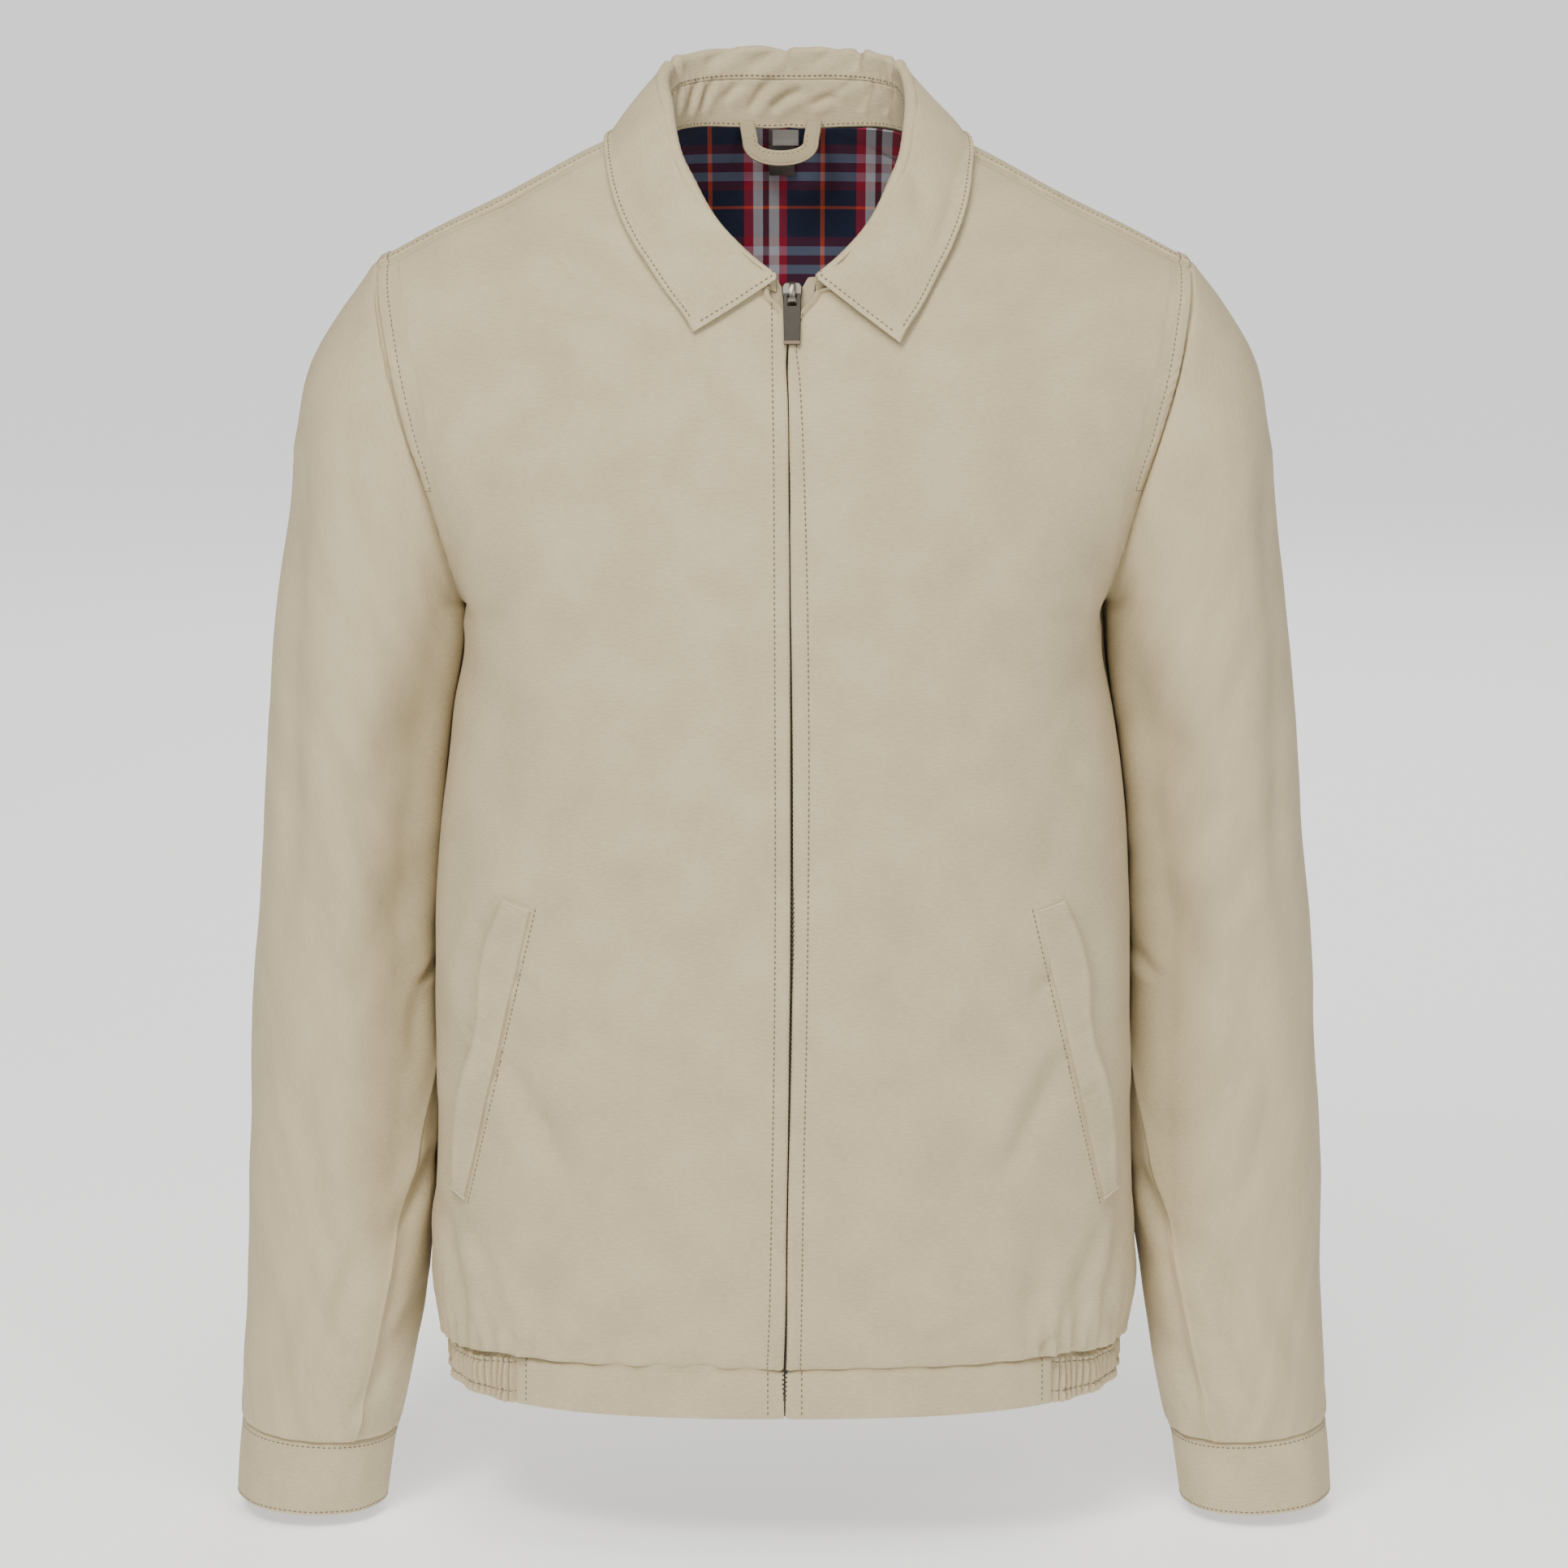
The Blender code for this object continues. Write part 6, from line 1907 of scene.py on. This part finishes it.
def look(place, aim):
    """The turn that points -Z from a place to an aim."""
    return (Vector(aim) - Vector(place)).to_track_quat("-Z", "Y").to_euler()


def make_floor():
    """A large pale floor that glows a little, so that it fills the view evenly."""
    pale = new_material("pale_floor", FLOOR_COLOUR, 0.9)
    shader = pale.node_tree.nodes["Principled BSDF"]
    shader.inputs["Emission Color"].default_value = (1.0, 1.0, 1.0, 1.0)
    shader.inputs["Emission Strength"].default_value = bpy.context.scene.jacket_stage.floor_glow
    span = FLOOR_HALF_WIDTH
    corners = [(-span, -span, FLOOR_Z), (span, -span, FLOOR_Z), (span, span, FLOOR_Z), (-span, span, FLOOR_Z)]
    mesh = bpy.data.meshes.new("floor")
    mesh.from_pydata(corners, [], [(0, 1, 2, 3)])
    mesh.materials.append(pale)
    return add_object("floor", mesh)


def make_lights():
    """Four soft disks and a high sun, and the even light of the room."""
    strength = bpy.context.scene.jacket_stage.light_strength
    lamps = []
    for name, place, aim, size, power, colour in LIGHTS:
        lamp = bpy.data.lights.new(name, "AREA")
        lamp.shape = "DISK"
        lamp.size = size
        lamp.energy = power * strength
        lamp.color = colour
        item = add_object(name, lamp)
        item.location = place
        item.rotation_euler = look(place, aim)
        lamps.append(item)
    sun = bpy.data.lights.new("high_light", "SUN")
    sun.energy = SUN_STRENGTH * strength
    sun.angle = SUN_ANGLE
    sun.color = SUN_COLOUR
    item = add_object("high_light", sun)
    item.rotation_euler = SUN_TURN
    world = bpy.data.worlds.new("soft_room")
    world.use_nodes = True
    room = world.node_tree.nodes["Background"]
    room.inputs["Color"].default_value = (1.0, 1.0, 1.0, 1.0)
    room.inputs["Strength"].default_value = ROOM_STRENGTH * strength
    bpy.context.scene.world = world
    return [*lamps, item]


def make_camera():
    """The camera, a long lens in front and a little above."""
    data = bpy.data.cameras.new("camera")
    data.lens = LENS
    data.sensor_width = 36.0
    data.clip_end = 100.0
    camera = add_object("camera", data)
    camera.location = CAMERA
    camera.rotation_euler = look(CAMERA, AIM)
    bpy.context.scene.camera = camera
    return camera


def make_stage():
    """The floor, the lights and the camera."""
    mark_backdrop(make_floor(), *make_lights(), make_camera())


# ---- add-on


def factor_setting(name, description):
    """A property for a factor, 1 by default."""
    return bpy.props.FloatProperty(name=name, description=description, default=1.0, min=0.0, subtype="FACTOR")


def colour_setting(name, description, default):
    """A property for a colour."""
    return bpy.props.FloatVectorProperty(
        name=name, description=description, default=default, size=3, min=0.0, max=1.0, subtype="COLOR"
    )


class JacketClothSettings(bpy.types.PropertyGroup):
    """Sizes and colours of the cloth and its thread."""

    fold_depth: factor_setting("Folds", "Depth of all hand-placed folds, as a factor")
    pucker_depth: factor_setting("Puckers", "Depth of the puckers along the seams, as a factor")
    gather_depth: factor_setting("Gathers", "Depth of the gathers above the elastic, as a factor")
    rib_depth: factor_setting("Ribs", "Depth of the elastic's ribs, as a factor")
    thread_thickness: factor_setting("Thread thickness", "Thickness of the stitches, as a factor")
    cloth_colour: colour_setting("Cloth", "Colour of the cotton", COTTON)
    dark_colour: colour_setting("Cloth shade", "Darker tone in the cotton's weave", COTTON_DARK)
    # the thread's colour is darkened as painted shade of the stitch holes and grooves
    thread_and_shade_colour: colour_setting("Thread", "Colour of the sewing thread", THREAD_WITH_PAINTED_SHADE)
    tack_colour: colour_setting("Bartacks", "Colour of the bartacks' thread", PALE_THREAD)


class JacketMetalSettings(bpy.types.PropertyGroup):
    """Colours of the zip's metals."""

    slider_colour: colour_setting("Slider", "Colour of the slider", NICKEL)
    pull_colour: colour_setting("Pull", "Colour of the pull tab", ANTIQUE_METAL)
    # the lip's colour is a painted highlight along the tab's lower edge, lighter than the tab
    lip_highlight_colour: colour_setting("Lip", "Colour of the pull tab's worn lower end", COPPER_EDGE_HIGHLIGHT)
    teeth_colour: colour_setting("Teeth", "Colour of the zip's teeth", TOOTH_METAL)


class JacketStageSettings(bpy.types.PropertyGroup):
    """Light of the stage."""

    floor_glow: bpy.props.FloatProperty(
        name="Floor glow", description="Light that the floor gives off", default=FLOOR_GLOW, min=0.0
    )
    light_strength: factor_setting("Light", "Strength of all lights, as a factor")


def operator(name, label, text, build):
    """A class for one operator that builds one piece or group of like pieces."""

    def execute(self, context):
        build()
        return {"FINISHED"}

    members = {"bl_idname": f"jacket.{name}", "bl_label": label, "__doc__": text, "execute": execute}
    return type(f"JACKET_OT_{name}", (bpy.types.Operator,), members)


def both_sides(make):
    """Calls a maker for the wearer's right and left."""

    def build():
        make(-1, "right")
        make(1, "left")

    return build


OPERATORS = (
    operator("stage", "Floor, lights and camera", "Build the floor, lights and camera", make_stage),
    operator("fronts", "Fronts", "Build both fronts and their sewing", both_sides(make_front)),
    operator("back", "Back", "Build the back and its sewing", make_back),
    operator("sleeves", "Sleeves", "Build both sleeves", both_sides(make_sleeve)),
    operator("cuffs", "Cuffs", "Build both cuffs", both_sides(make_cuff)),
    operator("elastics", "Elastics", "Build the gathered sides of the band", both_sides(make_elastic)),
    operator("hem", "Hem band", "Build the flat lengths of the band", make_hem),
    operator("welts", "Pocket welts", "Build both pocket welts", both_sides(make_welt)),
    operator("lining", "Lining", "Build the plaid lining", make_lining),
    operator("collar", "Collar", "Build the stand and the leaf", make_collar),
    operator("loop", "Hanger loop", "Build the hanger loop", make_loop),
    operator("labels", "Labels", "Build the bare labels", make_labels),
    operator("zip_tape", "Zip tape", "Build the tape and its teeth", make_zip_tape),
    operator("zip_slider", "Zip slider", "Build the slider", make_slider),
    operator("zip_pull", "Zip pull", "Build the pull tab", make_pull),
)


class JACKET_PT_panel(bpy.types.Panel):
    """Shows the settings, and lists the pieces in the order they are built."""

    bl_label = "Harrington jacket"
    bl_space_type = "VIEW_3D"
    bl_region_type = "UI"
    bl_category = "Jacket"

    def draw(self, context):
        for where, kind in SETTINGS.items():
            for name in kind.__annotations__:
                self.layout.prop(getattr(context.scene, where), name)
        for kind in OPERATORS:
            self.layout.operator(kind.bl_idname)


# where the scene keeps each group of settings
SETTINGS = {
    "jacket_cloth": JacketClothSettings,
    "jacket_metal": JacketMetalSettings,
    "jacket_stage": JacketStageSettings,
}
CLASSES = (*SETTINGS.values(), *OPERATORS, JACKET_PT_panel)


def register():
    """Registers the settings, operators and panel."""
    for kind in CLASSES:
        bpy.utils.register_class(kind)
    for where, kind in SETTINGS.items():
        setattr(bpy.types.Scene, where, bpy.props.PointerProperty(type=kind))


def unregister():
    """Removes them again."""
    for where in SETTINGS:
        delattr(bpy.types.Scene, where)
    for kind in reversed(CLASSES):
        bpy.utils.unregister_class(kind)


def corners():
    """The shown object's lowest and highest corner, as plain lists."""
    return [[float(v) for v in corner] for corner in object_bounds()]


def main():
    """Builds every piece in order and writes the size before and after."""
    register()
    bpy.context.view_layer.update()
    for kind in OPERATORS:
        group, name = kind.bl_idname.split(".")
        getattr(getattr(bpy.ops, group), name)()


if __name__ == "__main__":
    main()
